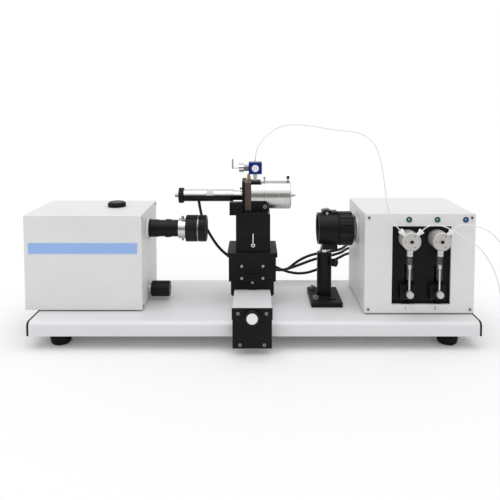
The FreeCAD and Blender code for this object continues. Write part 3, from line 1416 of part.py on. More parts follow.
waste_line_route = [
    (310.14, -86.6, 184.24), (318.6, -86.6, 192.7), (334.0, -90.0, 194.5), (350.0, -95.0, 191.5),
    (365.0, -97.0, 184.5), (378.0, -98.0, 172.0), (392.0, -98.0, 150.0), (402.0, -97.0, 118.0),
    (408.0, -95.0, 84.0), (413.0, -92.0, 52.0), (421.0, -88.0, 24.0), (436.0, -80.0, 6.0),
    (452.0, -74.0, 1.2), (467.0, -70.0, 1.0)]
head_cable_route = [
    (-95.8, 7.94, 214.73), (-95.8, 22.8, 195.7), (-91.0, 38.0, 172.0), (-79.0, 46.0, 149.0),
    (-62.0, 53.0, 124.0), (-42.0, 61.0, 99.0), (-14.0, 69.0, 86.0), (20.0, 71.0, 80.0), (46.0, 73.0, 69.0),
    (78.0, 76.0, 78.0), (112.0, 78.0, 91.0), (146.0, 82.0, 97.0), (166.5, 94.0, 99.0), (176.0, 112.0, 99.8),
    (195.0, 131.6, 101.0), (208.5, 136.0, 101.2), (222.3, 133.7, 101.4), (233.6, 125.5, 101.4),
    (240.0, 113.0, 101.4), (240.0, 100.0, 101.4)]
stage_cable_route = [
    (12.0, 43.0, 102.0), (12.0, 58.0, 102.0), (18.0, 75.0, 98.0), (30.0, 83.0, 86.0), (42.0, 87.0, 70.0),
    (60.0, 87.0, 66.0), (80.0, 85.5, 84.0), (100.0, 84.0, 95.0), (120.0, 83.5, 100.5), (146.0, 86.0, 103.5),
    (166.5, 94.0, 105.6), (176.0, 112.0, 107.2), (195.0, 131.6, 110.0), (208.5, 136.0, 113.0),
    (222.3, 133.7, 116.0), (233.6, 125.5, 118.0), (240.0, 113.0, 118.4), (240.0, 100.0, 118.4)]
motor_cable_route = [
    (-16.0, 43.0, 96.0), (-16.0, 58.0, 96.0), (-8.0, 77.0, 91.0), (12.0, 91.0, 86.0), (40.0, 95.0, 71.0),
    (66.0, 94.0, 60.0), (94.0, 92.0, 58.5), (120.0, 90.0, 67.0), (144.0, 90.0, 82.0), (164.0, 96.0, 89.5),
    (176.0, 112.0, 90.4), (195.0, 131.6, 89.0), (208.5, 136.0, 87.0), (222.3, 133.7, 85.4),
    (233.6, 125.5, 84.6), (240.0, 113.0, 84.4), (240.0, 100.0, 84.4)]


def make_cords():
    cord("dosing_line", dosing_line_route, line_diameter)
    cord("supply_line", supply_line_route, line_diameter)
    cord("waste_line", waste_line_route, line_diameter)
    cord("head_cable", head_cable_route, cable_diameter)
    cord("stage_cable", stage_cable_route, cable_diameter)
    cord("motor_cable", motor_cable_route, cable_diameter)


make_base()
make_camera_housing()
make_floor_plates()
make_sled()
make_focus_knob()
make_rail()
stage_top = make_stage()
head_top = make_tower_head(stage_top)
make_head(head_top)
make_valve(head_top)
make_post()
make_pump_housing()
make_pumps()
make_rear_sockets()
make_frame_screws()
make_cords()

box = FreeCAD.BoundBox()
for shape in nodes.values():
    box.add(shape.BoundBox)
to_origin = V(-(box.XMin + box.XMax) / 2, -(box.YMin + box.YMax) / 2, -box.ZMin)
print("moved by", to_origin, "box", box)

os.makedirs("parts", exist_ok=True)
for name, shape in list(nodes.items()) + list(cords.items()):
    placed = shape.copy()
    placed.translate(to_origin)
    placed.exportStep("parts/%s.step" % name)
    print(name, len(shape.Solids), "solids", shape.isValid(), round(shape.Volume))
print("nodes", len(nodes) + len(cords))
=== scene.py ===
# %% [markdown]
# This file dresses a surface tensiometer, a bench instrument that forms a drop at a needle and films it
# from the side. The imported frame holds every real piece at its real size. Here the pieces get their
# finishes, the lines and cables get their smooth run, and small details are added. The first cell loads the
# frame and keeps its box.
# %% Load the frame
import bmesh
import bpy
import math
from mathutils import Matrix, Vector


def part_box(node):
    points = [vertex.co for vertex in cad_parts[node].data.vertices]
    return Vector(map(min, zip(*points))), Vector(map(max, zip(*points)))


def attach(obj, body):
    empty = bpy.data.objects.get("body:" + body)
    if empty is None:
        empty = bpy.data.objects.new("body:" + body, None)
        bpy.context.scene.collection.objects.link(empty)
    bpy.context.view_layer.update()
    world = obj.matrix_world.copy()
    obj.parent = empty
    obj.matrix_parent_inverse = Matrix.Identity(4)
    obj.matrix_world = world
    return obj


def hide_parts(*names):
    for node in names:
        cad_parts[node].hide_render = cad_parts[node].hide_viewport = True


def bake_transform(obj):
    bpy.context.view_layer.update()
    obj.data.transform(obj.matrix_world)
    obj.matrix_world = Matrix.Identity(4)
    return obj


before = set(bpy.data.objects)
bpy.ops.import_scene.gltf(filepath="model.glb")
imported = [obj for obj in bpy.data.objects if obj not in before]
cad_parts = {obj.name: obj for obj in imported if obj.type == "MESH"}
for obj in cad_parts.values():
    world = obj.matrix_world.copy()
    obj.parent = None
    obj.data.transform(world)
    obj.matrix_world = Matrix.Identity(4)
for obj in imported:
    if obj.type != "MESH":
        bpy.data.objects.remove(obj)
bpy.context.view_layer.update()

# %% [markdown]
# Places on the instrument are easiest to write from the middle of its base, as its maker would. The frame
# puts its origin elsewhere, so the base tells where its middle is. The camera stands in front, a little
# above the valve, tilts down a little, and shifts its sensor, which keeps the upright edges nearly upright
# as in the photograph.
# %% Camera
picture_width = 500


def span(node):
    """A node's lowest and highest corner as vectors."""
    return [Vector(corner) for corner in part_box(node)]


base_low, base_high = span("base_profile")
base_middle = Vector(((base_low.x + base_high.x) / 2, (base_low.y + base_high.y) / 2, 0.0))


def at(x, y, z):
    """A point written in metres from the middle of the base, in the frame."""
    return base_middle + Vector((x, y, z))


def show(name, content):
    """An object in the scene for a mesh, a camera or a light."""
    made = bpy.data.objects.new(name, content)
    bpy.context.scene.collection.objects.link(made)
    return made


sensor_width = 36.0
focal_pixels = 547.8
axis_row = 134.4
axis_column = 254.6
tilt_down = math.radians(3.5)
camera_data = bpy.data.cameras.new("bench_camera")
camera_data.sensor_width = sensor_width
camera_data.lens = sensor_width * focal_pixels / picture_width
camera_data.shift_x = (picture_width / 2 - axis_column) / picture_width
camera_data.shift_y = (axis_row - picture_width / 2) / picture_width
camera_data.clip_start = 0.05
camera = show("bench_camera", camera_data)
camera.location = at(0.0007, -0.9319, 0.3866)
camera.rotation_euler = (math.radians(90) - tilt_down, 0.0, 0.0)
bpy.context.scene.camera = camera
print("lens", round(camera_data.lens, 1), "shift", round(camera_data.shift_y, 3))

# %% [markdown]
# Tubing and cables are fixed lengths of something flexible. Each follows a route of listed points, in
# metres from the middle of the base. A NURBS curve rounds the route, its points are read back, and a mesh
# tube is built on them. A mesh is used because some lines hang between bodies that move, and only a mesh
# can blend between them.
# %% Routes of the lines and cables
dosing_route = [
    (0.0019, 0.0, 0.2854), (0.0019, 0.0, 0.303), (0.0192, -0.005, 0.3272), (0.0472, -0.015, 0.3474),
    (0.0878, -0.03, 0.3468), (0.1296, -0.05, 0.3396), (0.1655, -0.068, 0.3378), (0.187, -0.08, 0.3232),
    (0.1957, -0.09, 0.2964), (0.2004, -0.097, 0.2604), (0.206, -0.096, 0.217), (0.2187, -0.0866, 0.1941),
    (0.22856, -0.0866, 0.18424)]
supply_route = [
    (0.26264, -0.0866, 0.18424), (0.2711, -0.0866, 0.1927), (0.288, -0.098, 0.196), (0.306, -0.107, 0.188),
    (0.322, -0.11, 0.178), (0.34, -0.112, 0.167), (0.356, -0.1125, 0.147), (0.369, -0.112, 0.122),
    (0.3765, -0.111, 0.094), (0.381, -0.11, 0.066), (0.388, -0.107, 0.038), (0.401, -0.102, 0.015),
    (0.42, -0.097, 0.003), (0.437, -0.094, 0.0012), (0.453, -0.089, 0.001)]
waste_route = [
    (0.31014, -0.0866, 0.18424), (0.3186, -0.0866, 0.1927), (0.334, -0.09, 0.1945), (0.35, -0.095, 0.1915),
    (0.365, -0.097, 0.1845), (0.378, -0.098, 0.172), (0.392, -0.098, 0.15), (0.402, -0.097, 0.118),
    (0.408, -0.095, 0.084), (0.413, -0.092, 0.052), (0.421, -0.088, 0.024), (0.436, -0.08, 0.006),
    (0.452, -0.074, 0.0012), (0.467, -0.07, 0.001)]
head_cable_route = [
    (-0.0958, 0.00794, 0.21473), (-0.0958, 0.0265, 0.1957), (-0.0915, 0.046, 0.168), (-0.0805, 0.053, 0.143),
    (-0.064, 0.056, 0.117), (-0.042, 0.061, 0.097), (-0.014, 0.069, 0.086), (0.02, 0.071, 0.08),
    (0.046, 0.073, 0.069), (0.078, 0.076, 0.078), (0.112, 0.078, 0.091), (0.146, 0.082, 0.097),
    (0.1665, 0.094, 0.099), (0.176, 0.112, 0.0998), (0.195, 0.1316, 0.101), (0.2085, 0.136, 0.1012),
    (0.2223, 0.1337, 0.1014), (0.2336, 0.1255, 0.1014), (0.24, 0.113, 0.1014), (0.24, 0.1, 0.1014)]
stage_cable_route = [
    (0.012, 0.043, 0.102), (0.012, 0.058, 0.102), (0.018, 0.075, 0.098), (0.03, 0.083, 0.086),
    (0.042, 0.087, 0.07), (0.06, 0.087, 0.066), (0.08, 0.0855, 0.084), (0.1, 0.084, 0.095),
    (0.12, 0.0835, 0.1005), (0.146, 0.086, 0.1035), (0.1665, 0.094, 0.1056), (0.176, 0.112, 0.1072),
    (0.195, 0.1316, 0.11), (0.2085, 0.136, 0.113), (0.2223, 0.1337, 0.116), (0.2336, 0.1255, 0.118),
    (0.24, 0.113, 0.1184), (0.24, 0.1, 0.1184)]
motor_cable_route = [
    (-0.016, 0.043, 0.096), (-0.016, 0.058, 0.096), (-0.008, 0.077, 0.091), (0.012, 0.091, 0.086),
    (0.04, 0.095, 0.071), (0.066, 0.094, 0.06), (0.094, 0.092, 0.0585), (0.12, 0.09, 0.067),
    (0.144, 0.09, 0.082), (0.164, 0.096, 0.0895), (0.176, 0.112, 0.0904), (0.195, 0.1316, 0.089),
    (0.2085, 0.136, 0.087), (0.2223, 0.1337, 0.0854), (0.2336, 0.1255, 0.0846), (0.24, 0.113, 0.0844),
    (0.24, 0.1, 0.0844)]
print("routes", len(dosing_route), len(head_cable_route))


# %% Smooth line along a route
def smooth_line(route):
    """The points down the smooth curve that a route guides."""
    curve = bpy.data.curves.new("route", "CURVE")
    curve.dimensions = "3D"
    curve.resolution_u = 8
    spline = curve.splines.new("NURBS")
    spline.points.add(len(route) - 1)
    for knot, point in zip(spline.points, route):
        knot.co = (*at(*point), 1.0)
    spline.order_u = 3
    spline.use_endpoint_u = True
    holder = bpy.data.objects.new("route", curve)
    mesh = bpy.data.meshes.new_from_object(holder)
    points = [vertex.co.copy() for vertex in mesh.vertices]
    bpy.data.meshes.remove(mesh)
    bpy.data.curves.remove(curve)
    return points


def loft(flesh, loops, smooth=False, closed=False):
    """Add faces from each loop of vertices to the next, and from the last to the first if closed."""
    pairs = list(zip(loops, loops[1:]))
    if closed:
        pairs.append((loops[-1], loops[0]))
    for low, high in pairs:
        for side in range(len(low)):
            nearby = (side + 1) % len(low)
            flesh.faces.new((low[side], low[nearby], high[nearby], high[side])).smooth = smooth


def tube_along(name, points, radius, sides=14):
    """A closed round tube on a line of points."""
    flesh = bmesh.new()
    rings = []
    side_way = (points[1] - points[0]).orthogonal().normalized()
    for index, point in enumerate(points):
        before = points[max(index - 1, 0)]
        after = points[min(index + 1, len(points) - 1)]
        along = (after - before).normalized()
        side_way = (side_way - along * side_way.dot(along)).normalized()
        other_way = along.cross(side_way)
        ring = []
        for side in range(sides):
            turn = math.tau * side / sides
            outward = side_way * math.cos(turn) + other_way * math.sin(turn)
            ring.append(flesh.verts.new(point + radius * outward))
        rings.append(ring)
    loft(flesh, rings, smooth=True)
    flesh.faces.new(rings[0][::-1])
    flesh.faces.new(rings[-1])
    mesh = bpy.data.meshes.new(name)
    flesh.to_mesh(mesh)
    flesh.free()
    return show(name, mesh)


# %% [markdown]
# The dosing line and the head cable hang over two joints, so each is two pieces that meet where both follow
# the stage. The tube that carries the sample is a milky clear, and each line ends on a fitting, in a plug at
# the back or bare on the bench at the right.
# %% Lay the lines and cables
line_diameter = 0.0016
cable_diameter = 0.005
cords = {"line": [], "cable": []}


def lay(kind, name, node, points, start_body, end_body):
    """One free stretch of line or cable between two bodies."""
    diameter = line_diameter if kind == "line" else cable_diameter
    piece = tube_along(name, points, diameter / 2)
    if start_body == end_body:
        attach(piece, start_body)
    else:
        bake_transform(piece)
    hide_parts(node)
    cords[kind].append(piece)


def parted(points, meeting):
    """Two runs of points that share the one nearest to a meeting place."""
    nearest = min(range(len(points)), key=lambda index: (points[index] - meeting).length)
    return points[:nearest + 1], points[nearest:]


dosing_near, dosing_far = parted(smooth_line(dosing_route), at(*dosing_route[3]))
lay("line", "dosing_line_at_valve", "dosing_line", dosing_near, "head", "carriage")
lay("line", "dosing_line_to_pump", "dosing_line", dosing_far, "carriage", "root")
lay("line", "supply_line_tube", "supply_line", smooth_line(supply_route), "root", "root")
lay("line", "waste_line_tube", "waste_line", smooth_line(waste_route), "root", "root")
head_near, head_far = parted(smooth_line(head_cable_route), at(*head_cable_route[6]))
lay("cable", "head_cable_at_barrel", "head_cable", head_near, "head", "carriage")
lay("cable", "head_cable_to_socket", "head_cable", head_far, "carriage", "root")
lay("cable", "stage_cable_jacket", "stage_cable", smooth_line(stage_cable_route), "carriage", "root")
lay("cable", "motor_cable_jacket", "motor_cable", smooth_line(motor_cable_route), "carriage", "root")
print("cord pieces", sum(len(group) for group in cords.values()))

# %% [markdown]
# Finishes share a few effects: the fine skin of sprayed paint, edges rubbed bright by hands, which are also
# painted highlights along the edges, marks of the turning tool, and dust that settles on level faces. Each is
# a node group with named sockets, made once and set for every material with its own values. The groups hand
# out masks and heights only, and the shader stays in the material.
# %% Helpers for node trees
def add(tree, kind, settings=None, **values):
    """A node with its settings and its sockets' values."""
    made = tree.nodes.new("ShaderNode" + kind)
    for key, value in (settings or {}).items():
        setattr(made, key, value)
    for key, value in values.items():
        made.inputs[key.replace("_", " ")].default_value = value
    return made


def noise_at(tree, place, **values):
    """A noise texture that is read at a place."""
    made = add(tree, "TexNoise", **values)
    tree.links.new(place, made.inputs["Vector"])
    return made


def effect(name, sockets_in, sockets_out):
    """An empty shader node group with named sockets, and its two ends."""
    tree = bpy.data.node_groups.new(name, "ShaderNodeTree")
    for socket, kind, value in sockets_in:
        made = tree.interface.new_socket(name=socket, in_out="INPUT", socket_type="NodeSocket" + kind)
        made.default_value = value
    for socket in sockets_out:
        tree.interface.new_socket(name=socket, in_out="OUTPUT", socket_type="NodeSocketFloat")
    return tree, tree.nodes.new("NodeGroupInput"), tree.nodes.new("NodeGroupOutput")


def math_node(tree, operation, first, second=None):
    """A Math node on links or numbers. It returns its output."""
    made = add(tree, "Math", {"operation": operation})
    for index, value in enumerate((first, second)):
        if isinstance(value, (int, float)):
            made.inputs[index].default_value = value
        elif value is not None:
            tree.links.new(value, made.inputs[index])
    return made.outputs[0]


def spread(tree, value, low_in, high_in, low_out, high_out):
    """A value moved from one span to another. It returns the output."""
    made = add(tree, "MapRange")
    spans = {"From Min": low_in, "From Max": high_in, "To Min": low_out, "To Max": high_out}
    for key, number in spans.items():
        if isinstance(number, (int, float)):
            made.inputs[key].default_value = number
        else:
            tree.links.new(number, made.inputs[key])
    tree.links.new(value, made.inputs["Value"])
    return made.outputs["Result"]


print("node helpers ready")


# %% Shared effects as node groups
def sprayed_skin():
    """Fine grain of a coat, with slow changes of tone."""
    tree, start, end = effect("sprayed_skin", [("Scale", "Float", 900.0)], ["Tone", "Grain"])
    place = add(tree, "TexCoord").outputs["Object"]
    slow = noise_at(tree, place, Scale=14.0, Detail=3.0)
    fine = noise_at(tree, place, Detail=2.0)
    tree.links.new(start.outputs["Scale"], fine.inputs["Scale"])
    both = math_node(tree, "ADD", math_node(tree, "MULTIPLY", slow.outputs[0], 0.6),
                     math_node(tree, "MULTIPLY", fine.outputs[0], 0.4))
    tree.links.new(spread(tree, both, 0.35, 0.65, 0.0, 1.0), end.inputs["Tone"])
    tree.links.new(fine.outputs[0], end.inputs["Grain"])
    return tree


def edge_wear_and_highlight():
    """A mask of the outer edges, broken up as wear is. It marks both worn edges and painted highlights along
    them.
    """
    sockets = [("Width", "Float", 0.0006), ("Amount", "Float", 0.5)]
    tree, start, end = effect("edge_wear_and_highlight", sockets, ["Mask"])
    rounded = add(tree, "Bevel", {"samples": 4})
    tree.links.new(start.outputs["Width"], rounded.inputs["Radius"])
    flat = add(tree, "NewGeometry")
    facing = add(tree, "VectorMath", {"operation": "DOT_PRODUCT"})
    tree.links.new(rounded.outputs["Normal"], facing.inputs[0])
    tree.links.new(flat.outputs["Normal"], facing.inputs[1])
    edge = spread(tree, facing.outputs["Value"], 0.99, 0.85, 0.0, 1.0)
    noise = noise_at(tree, add(tree, "TexCoord").outputs["Object"], Scale=260.0, Detail=4.0)
    broken = math_node(tree, "MULTIPLY", edge, spread(tree, noise.outputs[0], 0.4, 0.6, 0.0, 1.0))
    tree.links.new(math_node(tree, "MULTIPLY", broken, start.outputs["Amount"]), end.inputs["Mask"])
    return tree


def tool_marks():
    """Marks of a turning or brushing tool: noise that is fine one way and long the other."""
    sockets = [("Stretch", "Vector", (2500.0, 20.0, 20.0))]
    tree, start, end = effect("tool_marks", sockets, ["Streak", "Blotch"])
    scaled = add(tree, "VectorMath", {"operation": "MULTIPLY"})
    place = add(tree, "TexCoord").outputs["Object"]
    tree.links.new(place, scaled.inputs[0])
    tree.links.new(start.outputs["Stretch"], scaled.inputs[1])
    streak = noise_at(tree, scaled.outputs[0], Scale=1.0, Detail=2.0)
    blotch = noise_at(tree, place, Scale=60.0, Detail=3.0)
    tree.links.new(streak.outputs[0], end.inputs["Streak"])
    tree.links.new(spread(tree, blotch.outputs[0], 0.35, 0.65, 0.0, 1.0), end.inputs["Blotch"])
    return tree


def settled_dust():
    """A thin mask of dust on the faces that look up."""
    tree, start, end = effect("settled_dust", [("Amount", "Float", 0.1)], ["Mask"])
    upward = add(tree, "SeparateXYZ")
    tree.links.new(add(tree, "NewGeometry").outputs["Normal"], upward.inputs[0])
    noise = noise_at(tree, add(tree, "TexCoord").outputs["Object"], Scale=40.0, Detail=6.0)
    level = spread(tree, upward.outputs["Z"], 0.6, 1.0, 0.0, 1.0)
    patchy = math_node(tree, "MULTIPLY", level, spread(tree, noise.outputs[0], 0.35, 0.7, 0.2, 1.0))
    tree.links.new(math_node(tree, "MULTIPLY", patchy, start.outputs["Amount"]), end.inputs["Mask"])
    return tree


skin_effect = sprayed_skin()
edge_wear_highlight_effect = edge_wear_and_highlight()
tool_effect = tool_marks()
dust_effect = settled_dust()
print("effects", [group.name for group in bpy.data.node_groups])


# %% [markdown]
# Most of the instrument is coated: pale sprayed sheet, silver deck, black anodised blocks, moulded grips.
# They are one kind of surface with other values, so one function wires the effects and each finish says its
# own colour, grain, and edge colour, which is partly wear and partly a painted edge highlight. Constants sit
# on the shader's own sockets, and only what changes over the surface is linked.
# %% Coated finishes
dust_colour = (0.55, 0.54, 0.52, 1.0)
near_black = (0.008, 0.008, 0.009)


def put(tree, group, **values):
    """A shared effect, placed in a material's tree."""
    made = tree.nodes.new("ShaderNodeGroup")
    made.node_tree = group
    for key, value in values.items():
        made.inputs[key].default_value = value
    return made


def mixed(tree, factor, first, second):
    """A colour between two colours or links, by a mask."""
    made = add(tree, "Mix", {"data_type": "RGBA"})
    tree.links.new(factor, made.inputs["Factor"])
    for socket, value in ((made.inputs[6], first), (made.inputs[7], second)):
        if isinstance(value, tuple):
            socket.default_value = value
        else:
            tree.links.new(value, socket)
    return made.outputs[2]


def bare_material(name, colour, roughness, **sockets):
    """A material with constant values on its shader's sockets."""
    material = bpy.data.materials.new(name)
    material.use_nodes = True
    material.diffuse_color = (*colour, 1.0)
    shader = material.node_tree.nodes["Principled BSDF"]
    shader.inputs["Base Color"].default_value = (*colour, 1.0)
    shader.inputs["Roughness"].default_value = roughness
    for key, value in sockets.items():
        shader.inputs[key.replace("_", " ")].default_value = value
    return material, material.node_tree, shader


def raise_grain(tree, shader, height, depth):
    """Bump from a height that is a depth in metres at its most."""
    bump = add(tree, "Bump", Strength=1.0, Distance=depth)
    tree.links.new(height, bump.inputs["Height"])
    tree.links.new(bump.outputs["Normal"], shader.inputs["Normal"])


def coated(name, colour, edge_wear_highlight_colour, roughness, grain, depth, tone=0.03, edge_wear_highlight_amount=0.3, dust=0.08, **sockets):
    """A sprayed, anodised or moulded surface."""
    material, tree, shader = bare_material(name, colour, roughness, **sockets)
    skin = put(tree, skin_effect, Scale=grain)
    edge = put(tree, edge_wear_highlight_effect, Width=0.0005, Amount=edge_wear_highlight_amount)
    fall = put(tree, dust_effect, Amount=dust)
    darker = tuple(part * (1 - tone) for part in colour) + (1.0,)
    lighter = tuple(part * (1 + tone) for part in colour) + (1.0,)
    uneven = mixed(tree, skin.outputs["Tone"], darker, lighter)
    # The paler edge colour is partly wear and partly a painted highlight along the edges.
    worn_and_highlit = mixed(tree, edge.outputs["Mask"], uneven, (*edge_wear_highlight_colour, 1.0))
    tree.links.new(mixed(tree, fall.outputs["Mask"], worn_and_highlit, dust_colour), shader.inputs["Base Color"])
    tree.links.new(spread(tree, skin.outputs["Tone"], 0.0, 1.0, roughness - 0.05, roughness + 0.05),
                   shader.inputs["Roughness"])
    raise_grain(tree, shader, skin.outputs["Grain"], depth)
    return material


pale_paint = coated("pale_paint", (0.75, 0.75, 0.755), (0.85, 0.85, 0.85), 0.45, 1400.0, 0.00002, dust=0.03)
deck_paint = coated("deck_paint", (0.72, 0.725, 0.74), (0.85, 0.85, 0.86), 0.4, 1800.0, 0.000012, tone=0.02)
# The grey edges of the black blocks are partly wear and partly a painted highlight.
black_anodised = coated("black_anodised", near_black, (0.2, 0.2, 0.2), 0.45, 2600.0, 0.00001,
                        tone=0.25, edge_wear_highlight_amount=0.55, dust=0.01, Specular_IOR_Level=0.12)
black_plastic = coated("black_plastic", (0.008, 0.008, 0.008), (0.05, 0.05, 0.05), 0.36, 1600.0, 0.00003,
                       tone=0.2, dust=0.01, Specular_IOR_Level=0.2)
foot_rubber = coated("foot_rubber", (0.01, 0.01, 0.01), (0.06, 0.06, 0.06), 0.62, 700.0, 0.00006, tone=0.3,
                     dust=0.05, Specular_IOR_Level=0.1)
cable_jacket = coated("cable_jacket", near_black, (0.03, 0.03, 0.03), 0.45, 500.0, 0.00003,
                      tone=0.2, edge_wear_highlight_amount=0.0, dust=0.01, Specular_IOR_Level=0.25)
black_satin = coated("black_satin", near_black, (0.12, 0.12, 0.12), 0.3, 2200.0, 0.000008,
                     tone=0.2, dust=0.01, Specular_IOR_Level=0.14)
# Near black. It is painted shade in screw sockets and valve bores, and the own dark colour of the lamp rims,
# ring marks and valve face screws.
painted_shade_and_dark = coated("painted_shade_and_dark", (0.01, 0.009, 0.009), (0.02, 0.02, 0.02), 0.6, 1500.0, 0.00001, edge_wear_highlight_amount=0.0,
                     dust=0.0, Specular_IOR_Level=0.1)
screw_zinc = coated("screw_zinc", (0.3, 0.295, 0.285), (0.6, 0.6, 0.58), 0.4, 2500.0, 0.00001, tone=0.2,
                    edge_wear_highlight_amount=0.5, dust=0.02, Metallic=0.7)
satin_aluminium = coated("satin_aluminium", (0.56, 0.545, 0.52), (0.8, 0.79, 0.77), 0.42, 2400.0, 0.00001,
                         tone=0.06, edge_wear_highlight_amount=0.5, dust=0.02, Metallic=0.35)
strip_edge = coated("strip_edge", (0.5, 0.63, 0.88), (0.6, 0.7, 0.9), 0.35, 1500.0, 0.000006, edge_wear_highlight_amount=0.0,
                    dust=0.0)
printed_grey = coated("printed_grey", (0.05, 0.05, 0.055), (0.1, 0.1, 0.1), 0.5, 1800.0, 0.000006, tone=0.1,
                      edge_wear_highlight_amount=0.0, dust=0.0)
strip_blue = coated("strip_blue", (0.31, 0.47, 0.83), (0.5, 0.6, 0.9), 0.35, 1500.0, 0.000006, edge_wear_highlight_amount=0.1,
                    dust=0.0)
cube_blue = coated("cube_blue", (0.002, 0.022, 0.19), (0.06, 0.14, 0.45), 0.3, 2200.0, 0.00001, tone=0.15,
                   dust=0.01, Specular_IOR_Level=0.15)
bronze = coated("bronze", (0.11, 0.085, 0.072), (0.4, 0.34, 0.3), 0.36, 1800.0, 0.00001, tone=0.12, edge_wear_highlight_amount=0.6,
                Metallic=0.6)
white_plastic = coated("white_plastic", (0.82, 0.82, 0.81), (0.9, 0.9, 0.9), 0.35, 900.0, 0.00001, tone=0.02,
                       edge_wear_highlight_amount=0.0, dust=0.02)
print("coated finishes", len(bpy.data.materials))


# %% [markdown]
# Bare steel shows where the tool went. Marks run round a turned bar and along a brushed one, so the noise
# is stretched across the part's own axis. Roughness and bump follow the marks, and the metal stays a plain
# constant.
# %% Bare metals
def bare_metal(name, colour, roughness, stretch, depth=0.000004, uneven=0.12):
    """Turned or brushed metal. Stretch is how fast the marks change along X, Y and Z."""
    material, tree, shader = bare_material(name, colour, roughness, Metallic=1.0)
    marks = put(tree, tool_effect, Stretch=stretch)
    darker = tuple(part * (1 - uneven) for part in colour) + (1.0,)
    tree.links.new(mixed(tree, marks.outputs["Blotch"], darker, (*colour, 1.0)), shader.inputs["Base Color"])
    tree.links.new(spread(tree, marks.outputs["Streak"], 0.3, 0.7, roughness * 0.7, roughness * 1.4),
                   shader.inputs["Roughness"])
    raise_grain(tree, shader, marks.outputs["Streak"], depth)
    return material


fast, slow = 3000.0, 25.0
steel_along_x = bare_metal("steel_along_x", (0.66, 0.645, 0.63), 0.22, (fast, slow, slow))
steel_along_y = bare_metal("steel_along_y", (0.6, 0.58, 0.56), 0.34, (slow, fast, slow), 0.00001)
steel_along_z = bare_metal("steel_along_z", (0.68, 0.67, 0.66), 0.2, (slow, slow, fast))
dark_steel = bare_metal("dark_steel", (0.4, 0.385, 0.37), 0.28, (fast, slow, slow))
gold_cone = bare_metal("gold_cone", (0.6, 0.44, 0.22), 0.3, (slow, slow, fast))
print("metals", steel_along_x.name, steel_along_y.name, steel_along_z.name)


# %% [markdown]
# Glass, the clear ring and the line pass light, so they keep a plain Transmission Weight on the shader.
# Real glass bends light more than the value here, but the syringe is a thin tube before a black panel and
# has to look dark. A lamp is a coloured lens over a small light, and a little emission of its own colour
# stands for the light.
# %% Clear pieces and lamps
clear_glass = bare_material("clear_glass", (0.93, 0.94, 0.94), 0.02, Transmission_Weight=0.97, IOR=1.04)[0]
clear_ring = bare_material("clear_ring", (0.85, 0.87, 0.88), 0.1, Transmission_Weight=0.35, IOR=1.49)[0]
clear_line = bare_material("clear_line", (0.86, 0.86, 0.87), 0.25, Transmission_Weight=0.1, IOR=1.35)[0]
lens_coating = bare_material("lens_coating", (0.03, 0.035, 0.06), 0.04, Coat_Weight=1.0, IOR=1.6)[0]


def lamp_lens(name, colour):
    """A coloured lens with a soft glow."""
    material, _, shader = bare_material(name, colour, 0.15, Coat_Weight=0.6, Emission_Strength=0.1)
    shader.inputs["Emission Color"].default_value = (*colour, 1.0)
    return material


lamp_green = lamp_lens("lamp_green", (0.01, 0.13, 0.03))
lamp_blue = lamp_lens("lamp_blue", (0.01, 0.055, 0.28))
print("materials", len(bpy.data.materials))


# %% [markdown]
# Most carried-over pieces keep their shape and get a finish and a small edge rounding, since no real edge
# is perfectly sharp and a rounded one catches the light. The rounding is a chain of modifiers, which leaves
# the frame's own mesh as it is. A node may hold several solids, so a rule can pick a finish by where a
# solid lies.
# %% Dress the carried-over pieces
def solids_of(mesh):
    """For each face of a mesh, the number of the solid that it belongs to, and each solid's box."""
    parent = {}

    def top(key):
        while parent[key] != key:
            parent[key] = parent[parent[key]]
            key = parent[key]
        return key

    keys = [tuple(round(part, 6) for part in vertex.co) for vertex in mesh.vertices]
    for key in keys:
        parent.setdefault(key, key)
    for face in mesh.polygons:
        first = top(keys[face.vertices[0]])
        for index in face.vertices[1:]:
            parent[top(keys[index])] = first
    boxes = {}
    owner = []
    for face in mesh.polygons:
        number = top(keys[face.vertices[0]])
        owner.append(number)
        for index in face.vertices:
            low, high = boxes.setdefault(number, (Vector(keys[index]), Vector(keys[index])))
            for side in range(3):
                low[side] = min(low[side], keys[index][side])
                high[side] = max(high[side], keys[index][side])
    return owner, boxes


def round_edges(piece, width):
    """A small rounding on every edge that is sharper than a turned face's steps."""
    weld = piece.modifiers.new("weld", "WELD")
    weld.merge_threshold = 0.000002
    flat = piece.modifiers.new("flat", "DECIMATE")
    flat.decimate_type = "DISSOLVE"
    flat.angle_limit = math.radians(1.0)
    bevel = piece.modifiers.new("round", "BEVEL")
    bevel.width = width
    bevel.segments = 2
    bevel.limit_method = "ANGLE"
    bevel.angle_limit = math.radians(35)
    shade = piece.modifiers.new("shade", "WEIGHTED_NORMAL")
    shade.keep_sharp = False


def dress(node, finish, rounding):
    """Give a carried-over node its finish: one material, or a rule from a solid's box and a face to one."""
    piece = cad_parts[node]
    mesh = piece.data
    mesh.materials.clear()
    if isinstance(finish, bpy.types.Material):
        mesh.materials.append(finish)
    else:
        owner, boxes = solids_of(mesh)
        slots = []
        for face, number in zip(mesh.polygons, owner):
            material = finish(*boxes[number], face)
            if material not in slots:
                slots.append(material)
                mesh.materials.append(material)
            face.material_index = slots.index(material)
    if rounding:
        round_edges(piece, rounding)


